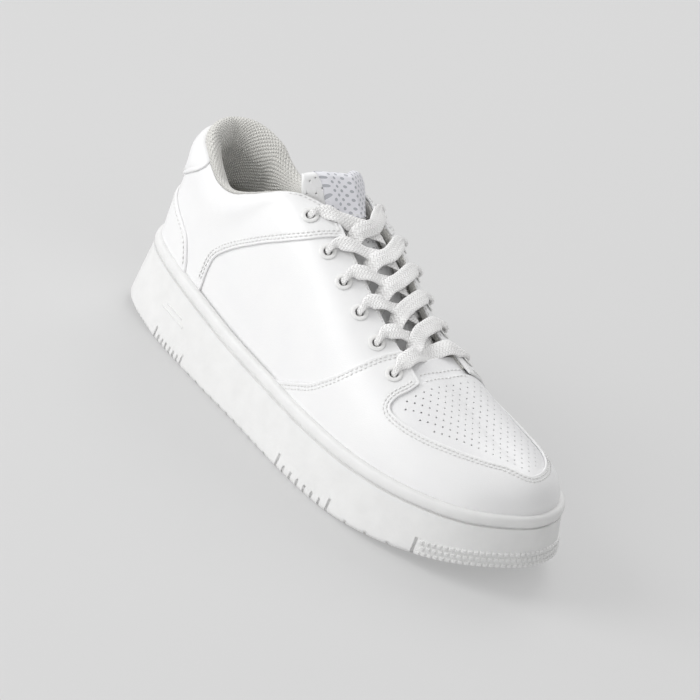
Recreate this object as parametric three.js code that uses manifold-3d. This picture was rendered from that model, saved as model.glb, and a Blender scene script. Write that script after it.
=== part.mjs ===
// A low-top court sneaker for the right foot, laced, as an assembly of separate pieces.
// Millimetres, +X from heel to toe, +Y to the inner side of the foot, +Z up.
// The origin is on the ground, under the middle of the sole.
import * as THREE from "three";
import { ParametricGeometry } from "three/addons/geometries/ParametricGeometry.js";
import { mergeVertices } from "three/addons/utils/BufferGeometryUtils.js";
import Module from "manifold-3d";

const wasm = await Module();
wasm.setup();
const shoe = new THREE.Group();

// ---------------------------------------------------------------- driving dimensions

// Plan outline of the sole at its widest: heel, outer side, toe, inner side.
const FOOTPRINT = [
  [-145, 0], [-136, -24], [-110, -35], [-65, -42], [-20, -47], [25, -52.5], [65, -52.5],
  [100, -44], [128, -26.5], [144, 3], [137, 31], [116, 48], [80, 48.5], [40, 45.5],
  [0, 36.5], [-45, 32.5], [-85, 32.5], [-115, 32], [-137, 20],
];
const LIP_HEIGHT = [[-145, 44], [-100, 40], [-40, 34.5], [30, 33.5], [80, 35], [120, 38.5], [145, 43]];
const RIDGE_HEIGHT = [
  [-120, 114], [-60, 117], [-30, 110.5], [0, 97.5], [30, 83], [60, 72], [90, 62.5], [118, 57],
];
const RIDGE_SIDE = [[-120, 0], [-40, -1], [20, 0], [80, 3], [118, 5]];
const FULLNESS = [[-145, 0.92], [-60, 0.92], [-30, 0.88], [20, 0.72], [60, 0.64], [145, 0.64]];
const RIDGE_REACH = 0.8; // the ridge ends short of the heel and the toe

const INSTEP_SHIFT = [4, 7]; // forward and to the inner side, at the top of the throat

const HEEL_LIFT = 4.8;
const TOE_SPRING = 15;
const WALL_LEAN = 4; // how far the side wall leans in from its widest line to its lip
const CUP_INSET = 7.3; // footprint to the inside of the cup wall
const CUP_FLOOR = 7;
const UPPER_INSET = 8; // footprint to the outside of the leather
const FEATHER_DROP = 4; // the leather's chart starts this far below the lip
const TUCK = 6; // and the leather goes on down this far inside the cup

const LEATHER = 1.6;
const STIFFENER = [2.0, 3.0]; // depths of the counter and the toe puff
const LINING = [3.4, 4.3]; // depths of the lining
const COLLAR_PAD = 5.5;
const PANEL_GAP = 0.3;
const BOARD_INSET = 12.8;

const EYELETS = [[122.5, 70.5], [144.5, 68], [162.5, 67.3], [181, 67], [199.8, 66.5], [219.6, 63]];
const EYELET_BORE = 2.4;
const EYELET_BARREL = 3.1;
const EYELET_FLANGE = 4.7;
const EYELET_HOLE = 3.6;

const TONGUE_SUNK = 9; // how far the tongue lies below the leather's outer face
// How far the tongue's top end stands up.
const TONGUE_RISE = [[-50, 19.6], [-42, 11.6], [-33, 5.6], [-24, 2.8], [-12, 1.4]];
const TONGUE_FRONT = 62;
const TONGUE_SHELL = [0, 1.2];
const TONGUE_FOAM = [2.4, 4.4];
const TONGUE_LINING = [5.8, 6.5];
const LABEL = [-1.7, -0.9];

const LACE_WIDTH = 6.8;
const LACE_THICK = 1.3;
const LACE_IN_HOLE = [3.0, 1.6]; // the lace bunches up to pass an eyelet
const TIP_LENGTH = 14;

// ---------------------------------------------------------------- seams of the upper
// Each point is [millimetres round the sole from the heel, per cent of the way up to the ridge].

const RIM = [
  [0, 52], [18, 50], [36, 45], [50, 40], [62, 36.5], [75, 38], [88, 46.5], [96, 56], [101, 65],
  [108, 76], [121, 86],
];
const TAB_REACH = 50;
const TAB_SEAM = [[0, 20.5], [24, 21.8], [45, 31.5], [TAB_REACH, 40]];
const HEEL_SEAM = [[0, 16.5], [25, 15.4], [43, 12.4], [54, 10.2], [60, 7.4], [65.5, 2], [66, -TUCK]];
const COLLAR_SEAM = [
  [80.5, -TUCK], [80.4, 6], [82, 11.5], [88, 16.2], [97, 22], [108.6, 30], [122.7, 43], [133.5, 60],
  [140.5, 84],
];
const FRONT_SEAM = [
  [139, -TUCK], [147, 0.4], [158, 2.8], [174.3, 10.3], [183, 16.7], [193, 29.6], [201, 47], [207, 65],
  [212, 79.6],
];
const VAMP_SIDE = [
  [234, 75.6], [233, 65], [230, 53], [231, 44.5], [240, 43.6], [256, 48], [274, 56.4], [294, 66.6],
  [316, 75],
];
const VAMP_TOE = [[345, 70], [371, 59], [395, 50]];
const TOE_SLANT = 0.28; // the toe panel's sheet leans back this far for each per cent up
const LINING_FRONT = 229;

// ---------------------------------------------------------------- smooth curves

// A smooth function through [x, y] points, level with its ends' slopes beyond them.
function through(points) {
  const slopes = points.map((point, i) => {
    const before = points[Math.max(i - 1, 0)];
    const after = points[Math.min(i + 1, points.length - 1)];
    return (after[1] - before[1]) / (after[0] - before[0]);
  });
  return (x) => {
    const clamped = Math.min(Math.max(x, points[0][0]), points[points.length - 1][0]);
    let i = 0;
    while (i < points.length - 2 && clamped > points[i + 1][0]) i += 1;
    const width = points[i + 1][0] - points[i][0];
    const t = (clamped - points[i][0]) / width;
    return (
      (2 * t ** 3 - 3 * t ** 2 + 1) * points[i][1] +
      (t ** 3 - 2 * t ** 2 + t) * width * slopes[i] +
      (3 * t ** 2 - 2 * t ** 3) * points[i + 1][1] +
      (t ** 3 - t ** 2) * width * slopes[i + 1]
    );
  };
}

const lipHeight = through(LIP_HEIGHT);
const ridgeHeight = through(RIDGE_HEIGHT);
const ridgeSide = through(RIDGE_SIDE);
const fullness = through(FULLNESS);
const soleBottom = (x) =>
  HEEL_LIFT * (Math.max(-80 - x, 0) / 65) ** 2 + TOE_SPRING * (Math.max(x - 45, 0) / 100) ** 1.8;
const ease = (x, from, to) => THREE.MathUtils.smoothstep(x, from, to);

const footprint = new THREE.CatmullRomCurve3(
  FOOTPRINT.map(([x, y]) => new THREE.Vector3(x, y, 0)),
  true,
  "catmullrom",
  0.5,
);
footprint.arcLengthDivisions = 600;
const GIRTH = footprint.getLength();
const wrapRound = (around) => THREE.MathUtils.euclideanModulo(around / GIRTH, 1);
const footPoint = (around) => footprint.getPointAt(wrapRound(around));
function inward(around) {
  const along = footPoint(around + 1).sub(footPoint(around - 1)).normalize();
  return new THREE.Vector3(-along.y, along.x, 0);
}

// Where the outline is furthest forward, and the length of its inner side against its outer side.
const toeAround = (() => {
  let best = 0;
  for (let around = 0; around < GIRTH; around += 0.5)
    if (footPoint(around).x > footPoint(best).x) best = around;
  return best;
})();
const INNER_SCALE = (GIRTH - toeAround) / toeAround;

// The place round the outer or the inner side that has a given X.
function aroundAt(x, outer) {
  let low = outer ? 0 : toeAround;
  let high = outer ? toeAround : GIRTH;
  for (let i = 0; i < 40; i += 1) {
    const middle = (low + high) / 2;
    if (footPoint(middle).x < x === outer) low = middle;
    else high = middle;
  }
  return (low + high) / 2;
}
const mirrored = ([around, up]) => [-around * INNER_SCALE, up];

// ---------------------------------------------------------------- the upper's surface

// The instep sits to the inner side at the top of the throat, so the upper leans over there.
function leanOver(point) {
  const along = ease(point.x, -68, -42) * (1 - ease(point.x, -15, 38));
  const share = along * ease(point.y, -24, 4) * ease(point.z, 64, 98);
  point.x += INSTEP_SHIFT[0] * share;
  point.y += INSTEP_SHIFT[1] * share;
  return point;
}

// The point at a chart position and a depth below the outer face of the leather.
function onUpper(around, up, depth) {
  const foot = footPoint(around);
  const base = foot.clone().addScaledVector(inward(around), UPPER_INSET + depth);
  base.z = lipHeight(foot.x) - FEATHER_DROP;
  const x = foot.x * RIDGE_REACH;
  const ridge = new THREE.Vector3(x, ridgeSide(x), ridgeHeight(x) - depth);
  const full = fullness(foot.x);
  const v = Math.max(up, 0) / 100;
  const out = (1 - v) ** 3 + 3 * (1 - v) ** 2 * v + 3 * (1 - v) * v ** 2 * full;
  const rise = 3 * (1 - v) ** 2 * v * full + 3 * (1 - v) * v ** 2 + v ** 3;
  const point = ridge.clone().lerp(base, out);
  point.z = base.z + (ridge.z - base.z) * rise + Math.min(up, 0);
  return leanOver(point);
}

// Outward normal of the upper at a chart position.
function upperNormal(around, up) {
  const low = onUpper(around, up - 1, 0);
  const high = onUpper(around, up + 1, 0);
  const back = onUpper(around - 1, up, 0);
  const front = onUpper(around + 1, up, 0);
  return front.sub(back).cross(high.sub(low)).normalize();
}

// ---------------------------------------------------------------- making solids

const looks = {
  leather: { color: 0xf2f2f0, roughness: 0.38 },
  rubber: { color: 0xe9e9e6, roughness: 0.6 },
  foam: { color: 0xe6e2d6, roughness: 0.9 },
  board: { color: 0xc9b48f, roughness: 0.9 },
  textile: { color: 0xe4e2d8, roughness: 0.95 },
  stiffener: { color: 0xd6d2c4, roughness: 0.7 },
  label: { color: 0xc8c7d0, roughness: 0.35 },
  eyelet: { color: 0xf4f4f2, roughness: 0.3 },
  lace: { color: 0xeeece6, roughness: 0.95 },
  tip: { color: 0xf6f6f6, roughness: 0.2 },
};

function add(name, look, geometry) {
  const material = new THREE.MeshStandardMaterial({ ...looks[look], metalness: 0 });
  const mesh = new THREE.Mesh(geometry, material);
  mesh.name = name;
  shoe.add(mesh);
}

// Only positions, with shared vertices merged.
function bare(geometry) {
  const plain = new THREE.BufferGeometry();
  plain.setAttribute("position", geometry.getAttribute("position"));
  plain.setIndex(geometry.index);
  return mergeVertices(plain, 1e-4);
}

function toSolid(geometry) {
  const merged = bare(geometry);
  return new wasm.Manifold(
    new wasm.Mesh({
      numProp: 3,
      vertProperties: merged.attributes.position.array,
      triVerts: new Uint32Array(merged.index.array),
    }),
  );
}

function toGeometry(solid) {
  const mesh = solid.getMesh();
  const geometry = new THREE.BufferGeometry();
  geometry.setAttribute("position", new THREE.BufferAttribute(mesh.vertProperties, 3));
  geometry.setIndex(new THREE.BufferAttribute(mesh.triVerts, 1));
  return geometry;
}

// Moves every vertex of a flat-built body to its place.
function warp(geometry, place) {
  const position = geometry.getAttribute("position");
  const at = new THREE.Vector3();
  for (let i = 0; i < position.count; i += 1) {
    at.fromBufferAttribute(position, i);
    const to = place(at.x, at.y, at.z);
    position.setXYZ(i, to.x, to.y, to.z);
  }
  return bare(geometry);
}

// Smooth run of chart points through a few given ones.
function seam(points, pieces) {
  const curve = new THREE.SplineCurve(points.map(([x, y]) => new THREE.Vector2(x, y)));
  return curve.getSpacedPoints(pieces).map((point) => [point.x, point.y]);
}

// Straight run of chart points, both ends included.
function straight(from, to, pieces) {
  const mix = (i, k) => THREE.MathUtils.lerp(from[k], to[k], i / pieces);
  return Array.from({ length: pieces + 1 }, (_, i) => [mix(i, 0), mix(i, 1)]);
}

// Joins runs that share their end points.
const joined = (...runs) => runs.flatMap((run, i) => (i ? run.slice(1) : run));

// Draws an anticlockwise outline in by a small gap.
function drawnIn(points, gap) {
  const loop = points.map(([x, y]) => new THREE.Vector2(x, y));
  return loop.map((point, i) => {
    const before = loop[(i + loop.length - 1) % loop.length];
    const after = loop[(i + 1) % loop.length];
    const edgeIn = point.clone().sub(before).normalize();
    const edgeOut = after.clone().sub(point).normalize();
    const side = new THREE.Vector2(-edgeIn.y - edgeOut.y, edgeIn.x + edgeOut.x);
    const reach = Math.max(side.length() / 2, 0.5);
    const { x, y } = point.clone().addScaledVector(side.normalize(), gap / reach);
    return [x, y];
  });
}

// A sheet laid on the upper between two depths, which may vary over it. Its lower and upper
// edges are runs of as many chart points, going round the shoe the same way as the sole.
function panel(lower, upper, rows, outer, inner) {
  const count = lower.length - 1;
  const loop = drawnIn([...lower, ...upper.slice().reverse()], PANEL_GAP / 2);
  const low = loop.slice(0, count + 1);
  const high = loop.slice(count + 1).reverse();
  const box = new THREE.BoxGeometry(1, 1, 1, count, rows, 1).translate(0.5, 0.5, 0.5);
  return warp(box, (x, y, z) => {
    const i = Math.round(x * count);
    const around = THREE.MathUtils.lerp(low[i][0], high[i][0], y);
    const up = THREE.MathUtils.lerp(low[i][1], high[i][1], y);
    return onUpper(around, up, THREE.MathUtils.lerp(inner(around, up), outer(around, up), z));
  });
}
const level = (depth) => () => depth;

// The upper's frame at an eyelet: its point, outward, and up towards the throat.
function eyeletFrame([around, up]) {
  const outward = upperNormal(around, up);
  const towards = onUpper(around, up + 1, 0).sub(onUpper(around, up - 1, 0)).normalize();
  return { at: onUpper(around, up, 0), outward, towards };
}

// Stands a geometry made along +Z on the upper at an eyelet.
function onEyelet(geometry, eyelet) {
  const { at, outward } = eyeletFrame(eyelet);
  const turn = new THREE.Quaternion().setFromUnitVectors(new THREE.Vector3(0, 0, 1), outward);
  return geometry.applyQuaternion(turn).translate(at.x, at.y, at.z);
}

// The sheet with a round hole at each of the given eyelets.
function punched(geometry, eyelets) {
  const drill = () => {
    const pin = new THREE.CylinderGeometry(EYELET_HOLE, EYELET_HOLE, 30, 10);
    return pin.rotateX(Math.PI / 2);
  };
  const solid = eyelets.reduce(
    (left, eyelet) => left.subtract(toSolid(onEyelet(drill(), eyelet))),
    toSolid(geometry),
  );
  return toGeometry(solid);
}

// Round positions on both sides that share the same X, so that they meet at the ridge.
function ringPositions(count) {
  const positions = [];
  const heel = footPoint(0).x + 0.05;
  const toe = footPoint(toeAround).x - 0.01;
  const half = count / 2;
  for (let i = 0; i <= half; i += 1) {
    const x = heel + ((toe - heel) * (1 - Math.cos((Math.PI * i) / half))) / 2;
    positions[i] = aroundAt(x, true);
    positions[(count - i) % count] ??= aroundAt(x, false);
  }
  return positions;
}

// A closed body swept round the shoe: section(around) gives its points from the middle line
// below, round the outside, to the middle line above.
function roundBody(count, stacks, section) {
  const positions = ringPositions(count);
  const sections = positions.map(section);
  const geometry = new ParametricGeometry(
    (u, v, target) => {
      const i = Math.round(u * count) % count;
      target.copy(sections[i][Math.round(v * stacks)]);
    },
    count,
    stacks,
  );
  return bare(geometry);
}

// Points on the shoe's middle line and inside its outline, with the height as a function of X.
const middleLine = (around, height) => {
  const x = footPoint(around).x * RIDGE_REACH;
  return new THREE.Vector3(x, ridgeSide(x), height(x));
};
const insetPoint = (around, inset, height) => {
  const point = footPoint(around).addScaledVector(inward(around), inset);
  point.z = height(point.x);
  return point;
};

// A slab inside the sole's outline between two heights, which follow the sole.
function slab(inset, bottom, top) {
  return roundBody(ROUND, 3, (around) => [
    middleLine(around, bottom),
    insetPoint(around, inset, bottom),
    insetPoint(around, inset, top),
    middleLine(around, top),
  ]);
}

// ---------------------------------------------------------------- sole

const ROUND = 48; // sides of the bodies that go right round the shoe
const cupFloor = (x) => soleBottom(x) + CUP_FLOOR;
const boardBottom = (x) => lipHeight(x) - 10.4;

function outsoleCup() {
  const bottom = (above) => (x) => soleBottom(x) + above;
  const lip = (below) => (x) => lipHeight(x) - below;
  return roundBody(ROUND, 10, (around) => [
    middleLine(around, bottom(0)),
    insetPoint(around, 10, bottom(0)),
    insetPoint(around, 3, bottom(0)),
    insetPoint(around, 0.6, bottom(1.6)),
    insetPoint(around, 0, bottom(5)),
    insetPoint(around, WALL_LEAN - 0.6, lip(1.2)),
    insetPoint(around, WALL_LEAN + 0.8, lip(0)),
    insetPoint(around, CUP_INSET - 0.6, lip(0)),
    insetPoint(around, CUP_INSET, lip(0.8)),
    insetPoint(around, CUP_INSET, cupFloor),
    middleLine(around, cupFloor),
  ]);
}

add("outsole_cup", "rubber", outsoleCup());
const overCup = (above) => (x) => cupFloor(x) + above;
const overBoard = (above) => (x) => boardBottom(x) + above;
add("midsole_foam", "foam", slab(CUP_INSET + 0.9, overCup(0.8), overBoard(-0.8)));
add("insole_board", "board", slab(BOARD_INSET, overBoard(0), overBoard(1.6)));
add("sockliner", "foam", slab(BOARD_INSET, overBoard(2.4), overBoard(6.4)));

// ---------------------------------------------------------------- leather panels

const last = (run) => run[run.length - 1];
const rimLine = through(RIM);
const rimRun = (from, to, pieces) => straight([from, 0], [to, 0], pieces).map(([a]) => [a, rimLine(a)]);
const bottomRun = (from, to, pieces) => straight([from, -TUCK], [to, -TUCK], pieces);
const mirroredRun = (run) => run.map(mirrored).reverse();
const pastToe = ([around, up]) => [around + GIRTH, up]; // counted on past the toe

const heelSide = seam(HEEL_SEAM, 9);
const tabSide = seam(TAB_SEAM, 6);
const collarSide = seam(COLLAR_SEAM, 11);
const frontSide = seam(FRONT_SEAM, 13);

const leather = (lower, upper, rows) => panel(lower, upper, rows, level(0), level(LEATHER));

// Both sides of the shoe get the panel, with holes for some of the eyelets.
function leatherPair(name, lower, upper, rows, eyelets) {
  const outer = leather(lower, upper, rows);
  const inner = leather(mirroredRun(lower), mirroredRun(upper), rows);
  add(`${name}_lateral`, "leather", punched(outer, eyelets));
  add(`${name}_medial`, "leather", punched(inner, eyelets.map(mirrored)));
}

leatherPair(
  "collar_overlay",
  joined(heelSide, bottomRun(last(heelSide)[0], collarSide[0][0], 2), collarSide),
  joined(tabSide, rimRun(TAB_REACH, 75, 4), rimRun(75, last(RIM)[0], 12)),
  4,
  EYELETS.slice(0, 1),
);
leatherPair(
  "quarter",
  joined(bottomRun(collarSide[0][0], frontSide[0][0], 6), frontSide.slice(0, -1)),
  joined(collarSide.slice(1), straight(last(collarSide), last(frontSide), 8)),
  5,
  EYELETS.slice(1, 5),
);

const throatFront = straight(last(frontSide), VAMP_SIDE[0], 2);
const vampInner = mirroredRun(VAMP_SIDE.slice(0, 6)).map(pastToe);
const vampEdge = seam([...VAMP_SIDE, ...VAMP_TOE, ...vampInner], 40);

// The toe panel's sheet runs from the bottom up to the front seams, the throat and the vamp.
function toeOverlay() {
  const top = joined(
    frontSide.slice(1),
    throatFront,
    vampEdge,
    mirroredRun(throatFront).map(pastToe),
    mirroredRun(frontSide.slice(1)).map(pastToe),
  );
  const bottom = top.map(([around, up]) => {
    const outer = around < toeAround;
    const fromHeel = outer ? around : (GIRTH - around) / INNER_SCALE;
    const lean = TOE_SLANT * Math.max(up, 0) * (1 - ease(fromHeel, 240, 330));
    return [outer ? around - lean : around + lean * INNER_SCALE, -TUCK];
  });
  return punched(leather(bottom, top, 4), [EYELETS[5], mirrored(EYELETS[5])]);
}
add("toe_overlay", "leather", toeOverlay());

function heelPanel() {
  const side = heelSide.slice(0, -1);
  const foot = last(heelSide);
  const bottom = straight(mirrored(foot), foot, 2 * side.length - 2);
  return leather(bottom, joined(mirroredRun(side), side), 2);
}
add("heel_panel", "leather", heelPanel());

function heelTab() {
  const reach = TAB_REACH - 4;
  const top = rimRun(0, reach, tabSide.length - 1);
  return leather(joined(mirroredRun(tabSide), tabSide), joined(mirroredRun(top), top), 3);
}
add("heel_tab", "leather", heelTab());

// ---------------------------------------------------------------- stiffener, padding, lining

const pad = (around, up) =>
  COLLAR_PAD * ease(up, 15, 23) * (1 - ease(Math.abs(around), 92, 112));
const liningOuter = (around, up) => LINING[0] + pad(around, up);
const liningInner = (around, up) => LINING[1] + pad(around, up);

// A band round the heel between a bottom level and a top line given for the outer side.
function heelBand(reach, bottom, top, outer, inner) {
  const side = straight([0, 0], [reach, 0], 9).map(([around]) => [around, top(around)]);
  const upper = joined(mirroredRun(side), side);
  const lower = upper.map(([around]) => [around, bottom]);
  return panel(lower, upper, 2, outer, inner);
}
const [counterOuter, counterInner] = STIFFENER.map(level);
const counterTop = (around) => 14 - around / 14;
add("heel_counter", "stiffener", heelBand(88, -TUCK, counterTop, counterOuter, counterInner));
const foamInner = (around, up) =>
  2.8 + (COLLAR_PAD - 0.4) * ease(up, 18, 44) * (1 - ease(Math.abs(around), 80, 104));
add("collar_foam", "foam", heelBand(88, 17, (around) => rimLine(around) - 2, level(2.1), foamInner));

// One lining from throat to throat round the heel, open at the front.
function quarterLining() {
  const back = rimRun(0, 112, 10);
  const front = straight([117, 84.5], [LINING_FRONT, 75.5], 10);
  const upper = joined(mirroredRun([...back, ...front]), [...back, ...front]);
  const lower = upper.map(([around]) => [around, 1 - TUCK]);
  const sheet = panel(lower, upper, 5, liningOuter, liningInner);
  return punched(sheet, [...EYELETS, ...EYELETS.map(mirrored)]);
}
add("quarter_lining", "textile", quarterLining());

// ---------------------------------------------------------------- toe: vamp, puff, vamp lining

// A dome with the upper's outer form at a depth, closed underneath.
function dome(depth, drop, count, stacks) {
  const section = (around) => {
    const low = onUpper(around, -drop, depth);
    const points = [middleLine(around, () => low.z), low];
    for (let i = 0; i <= stacks; i += 1) points.push(onUpper(around, (100 * i) / stacks, depth));
    return points;
  };
  return toSolid(roundBody(count, stacks + 2, section));
}

// An upright prism on a plan outline.
function prism(points) {
  const shape = new THREE.Shape(points.map(([x, y]) => new THREE.Vector2(x, y)));
  const body = new THREE.ExtrudeGeometry(shape, { depth: 200, bevelEnabled: false });
  return toSolid(body.translate(0, 0, -20));
}

const shell = (from, to, drop) => dome(from, drop, 44, 8).subtract(dome(to, drop + 4, 44, 8));
const plan = ([around, up]) => {
  const point = onUpper(around, up, 0);
  return [point.x, point.y];
};

// Everything forward of one cross line of the chart.
function forwardOf(around) {
  const outer = plan([around, 0]);
  const inner = plan(pastToe(mirrored([around, 0])));
  const top = plan([around, 100]);
  const beyond = (edge) => [edge[0] + (edge[0] - top[0]), edge[1] + (edge[1] - top[1])];
  return prism([top, beyond(outer), [220, -120], [220, 120], beyond(inner)]);
}

// The vamp's cut walls stand upright, so it keeps clear of the toe panel's slanting edge.
const vampOutline = drawnIn(vampEdge.map(plan), LEATHER);
add("toe_vamp", "leather", toGeometry(shell(0, LEATHER, 0).intersect(prism(vampOutline))));
add("toe_puff", "stiffener", toGeometry(shell(...STIFFENER, TUCK).intersect(forwardOf(276))));
const vampLining = shell(...LINING, TUCK - 1).intersect(forwardOf(LINING_FRONT + 2));
add("vamp_lining", "textile", toGeometry(vampLining));

// ---------------------------------------------------------------- eyelets

function eyeletRing() {
  const profile = [
    [EYELET_BORE, -3], [EYELET_BARREL, -3], [EYELET_BARREL, 0.35], [EYELET_FLANGE, 0.35],
    [EYELET_FLANGE - 0.4, 0.9], [EYELET_BARREL, 1.2], [EYELET_BORE, 1.1], [EYELET_BORE, -3],
  ];
  const ring = new THREE.LatheGeometry(profile.map(([r, h]) => new THREE.Vector2(r, h)), 12);
  return ring.rotateX(Math.PI / 2);
}
EYELETS.forEach((eyelet, i) => {
  add(`eyelet_lateral_${i + 1}`, "eyelet", bare(onEyelet(eyeletRing(), eyelet)));
  add(`eyelet_medial_${i + 1}`, "eyelet", bare(onEyelet(eyeletRing(), mirrored(eyelet))));
});

// ---------------------------------------------------------------- tongue

const tongueRise = through(TONGUE_RISE);

// How far up the collar and the edges of the throat reach, at a place round the sole.
function openingLine(around) {
  const [start, end] = [last(RIM), VAMP_SIDE[0]];
  if (around < start[0]) return rimLine(around);
  return THREE.MathUtils.mapLinear(around, start[0], end[0], start[1], end[1]);
}

// How deep the tongue's face lies. It arches up, but only inside the opening.
function tongueDepth(fromHeel, up) {
  const x = footPoint(fromHeel).x * RIDGE_REACH;
  return TONGUE_SUNK - tongueRise(x) * ease(up, openingLine(fromHeel) - 3, 100);
}

// A point of the tongue's face: X of its middle and place across it, from the outer edge (-1)
// to the inner edge (1).
function tongueFace(x, across) {
  const edge = THREE.MathUtils.lerp(60, 70, ease(-x, 33, 48));
  const up = 100 - Math.abs(across) * (100 - edge);
  const fromHeel = aroundAt(x / RIDGE_REACH, true);
  const around = across < 0 ? fromHeel : aroundAt(x / RIDGE_REACH, false);
  return onUpper(around, up, tongueDepth(fromHeel, up));
}

// The same, at a depth below the face.
function onTongue(x, across, depth) {
  const along = tongueFace(x + 1, across).sub(tongueFace(x - 1, across));
  const over = tongueFace(x, across + 0.06).sub(tongueFace(x, across - 0.06));
  return tongueFace(x, across).addScaledVector(along.cross(over).normalize(), -depth);
}

// A layer of the tongue with its inner and outer depth and its half width along it.
function tongueLayer(front, pieces, [outer, inner], side) {
  const box = new THREE.BoxGeometry(1, 1, 1, pieces, 10, 1).translate(0.5, 0, 0.5);
  return warp(box, (t, s, z) => {
    const x = THREE.MathUtils.lerp(TONGUE_RISE[0][0], front, t ** 1.5); // finer at the curved top
    return onTongue(x, 2 * side(t) * s, THREE.MathUtils.lerp(inner, outer, z));
  });
}
const fullWidth = level(1);
const labelWidth = (t) => 0.5 - 0.2 * t;
add("tongue_shell", "leather", tongueLayer(TONGUE_FRONT, 21, TONGUE_SHELL, fullWidth));
add("tongue_foam", "foam", tongueLayer(TONGUE_FRONT, 21, TONGUE_FOAM, fullWidth));
add("tongue_lining", "textile", tongueLayer(TONGUE_FRONT, 21, TONGUE_LINING, fullWidth));
add("tongue_label", "label", tongueLayer(-36, 6, LABEL, labelWidth));

// The stitched strip behind the vamp, between the feet of the eyelet stays.
function throatStrip() {
  const box = new THREE.BoxGeometry(1, 1, 1, 1, 6, 1).translate(0.5, 0, 0.5);
  return warp(box, (t, s, z) => {
    const x = THREE.MathUtils.lerp(52, 59, t);
    const up = 100 - 2 * Math.abs(s) * 17;
    return onUpper(aroundAt(x / RIDGE_REACH, s < 0), up, THREE.MathUtils.lerp(3.2, 2, z));
  });
}
add("throat_strip", "leather", throatStrip());

// ---------------------------------------------------------------- lace

// The lace's width lies along the throat, and more steeply where it lies over the tongue's top.
function rowDirection({ x, y }) {
  const steep = ease(-x, 12, 26) * (1 - ease(Math.abs(y), 4, 11));
  return new THREE.Vector3(1, 0, THREE.MathUtils.lerp(-0.43, -1, steep)).normalize();
}

// Passing one eyelet, from its throat side underneath to its throat side on top.
function throughEyelet(side, i) {
  const eyelet = side > 0 ? EYELETS[i] : mirrored(EYELETS[i]);
  const { at, outward, towards } = eyeletFrame(eyelet);
  const steps = [[1.9, -6.6], [0, -4.5], [0, -1.4], [0, 1.1], [1.7, 2.9]];
  const inHole = ([m, h]) => at.clone().addScaledVector(towards, m).addScaledVector(outward, h);
  const beside = (depth) => onUpper(eyelet[0], (eyelet[1] + 84) / 2, depth);
  return [beside(6.7), ...steps.map(inHole), beside(-2.3)];
}

// Crossing the throat between two places along it, over or under the strand coming the other
// way. Each step gives the share of the way, how far up the chart, and the depth; in the
// middle the lace also keeps above the tongue.
function crossThroat(side, from, to, steps, above) {
  return steps.map(([share, up, depth]) => {
    const fromHeel = THREE.MathUtils.lerp(from, to, share);
    const own = share < 0.5 ? side : -side;
    const [around] = own > 0 ? [fromHeel] : mirrored([fromHeel, 0]);
    const clear = up < 90 ? depth : Math.min(depth, tongueDepth(fromHeel, up) - above);
    return onUpper(around, up, clear);
  });
}
const OVER = [
  [0.15, 83, 6.5], [0.32, 92, -0.5], [0.501, 99.5, -1.3], [0.68, 92, -1.9], [0.85, 84, -2.2],
];
const UNDER = [
  [0.15, 83, 6.5], [0.32, 92, 3.2], [0.501, 99.5, 1.6], [0.68, 92, 1.25], [0.85, 84, -2.2],
];
const TUCKED = [[123, 65.5, 7.6], [126, 58, 7.4], [130, 51, 8.2], [132, 45, 9.5]];

// Half of the lace, from the bar over the lowest eyelets to one tucked end. Each strand comes
// from under one edge of the throat and enters the next hole on the other side from outside.
function halfLace(side, high) {
  const route = throughEyelet(side, 5).reverse();
  let own = side;
  for (let i = 4; i >= 0; i -= 1) {
    const over = (i % 2 === 0) === high;
    const [from, to] = [EYELETS[i + 1][0], EYELETS[i][0]];
    route.push(...crossThroat(own, from, to, over ? OVER : UNDER, over ? 3.2 : 1.4));
    own = -own;
    route.push(...throughEyelet(own, i).reverse());
  }
  const tail = TUCKED.map(([fromHeel, up, depth]) => {
    const [around] = own > 0 ? [fromHeel] : mirrored([fromHeel, 0]);
    return onUpper(around, up, depth);
  });
  return [...route.slice(0, -2), ...tail];
}

// Where the bar passes over one edge of the throat.
const barPoint = (side, up) => {
  const [place] = side > 0 ? [EYELETS[5][0]] : mirrored(EYELETS[5]);
  return onUpper(place, up, -2.3);
};
const barMiddle = onUpper(EYELETS[5][0], 99.5, 2.4);
const bar = [barPoint(1, 84), barMiddle, barPoint(-1, 84)];
const laceRoute = new THREE.CatmullRomCurve3(
  [...halfLace(1, true).reverse(), ...bar, ...halfLace(-1, false)],
  false,
  "centripetal",
);
laceRoute.arcLengthDivisions = 3000;

// The lace narrows where it bunches up in an eyelet and at its ends.
function laceSize(point, share) {
  const centres = [...EYELETS, ...EYELETS.map(mirrored)].map((eyelet) => eyeletFrame(eyelet).at);
  const nearest = Math.min(...centres.map((centre) => centre.distanceTo(point)));
  const toEnd = Math.min(share, 1 - share) * laceRoute.getLength();
  const wide = Math.min(ease(nearest, 4, 10), ease(toEnd, 0, 12));
  return [LACE_IN_HOLE[0], LACE_IN_HOLE[1]].map((narrow, k) =>
    THREE.MathUtils.lerp(narrow, [LACE_WIDTH, LACE_THICK][k], wide),
  );
}

function lace(pieces) {
  const box = new THREE.BoxGeometry(1, 1, 1, pieces, 1, 1).translate(0.5, 0, 0);
  return warp(box, (share, across, over) => {
    const point = laceRoute.getPointAt(share);
    const along = laceRoute.getTangentAt(share);
    const row = rowDirection(point);
    const wide = row.addScaledVector(along, -row.dot(along)).normalize();
    const thick = along.clone().cross(wide);
    const [width, depth] = laceSize(point, share);
    return point.addScaledVector(wide, across * width).addScaledVector(thick, over * depth);
  });
}
add("lace", "lace", lace(300));

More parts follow.
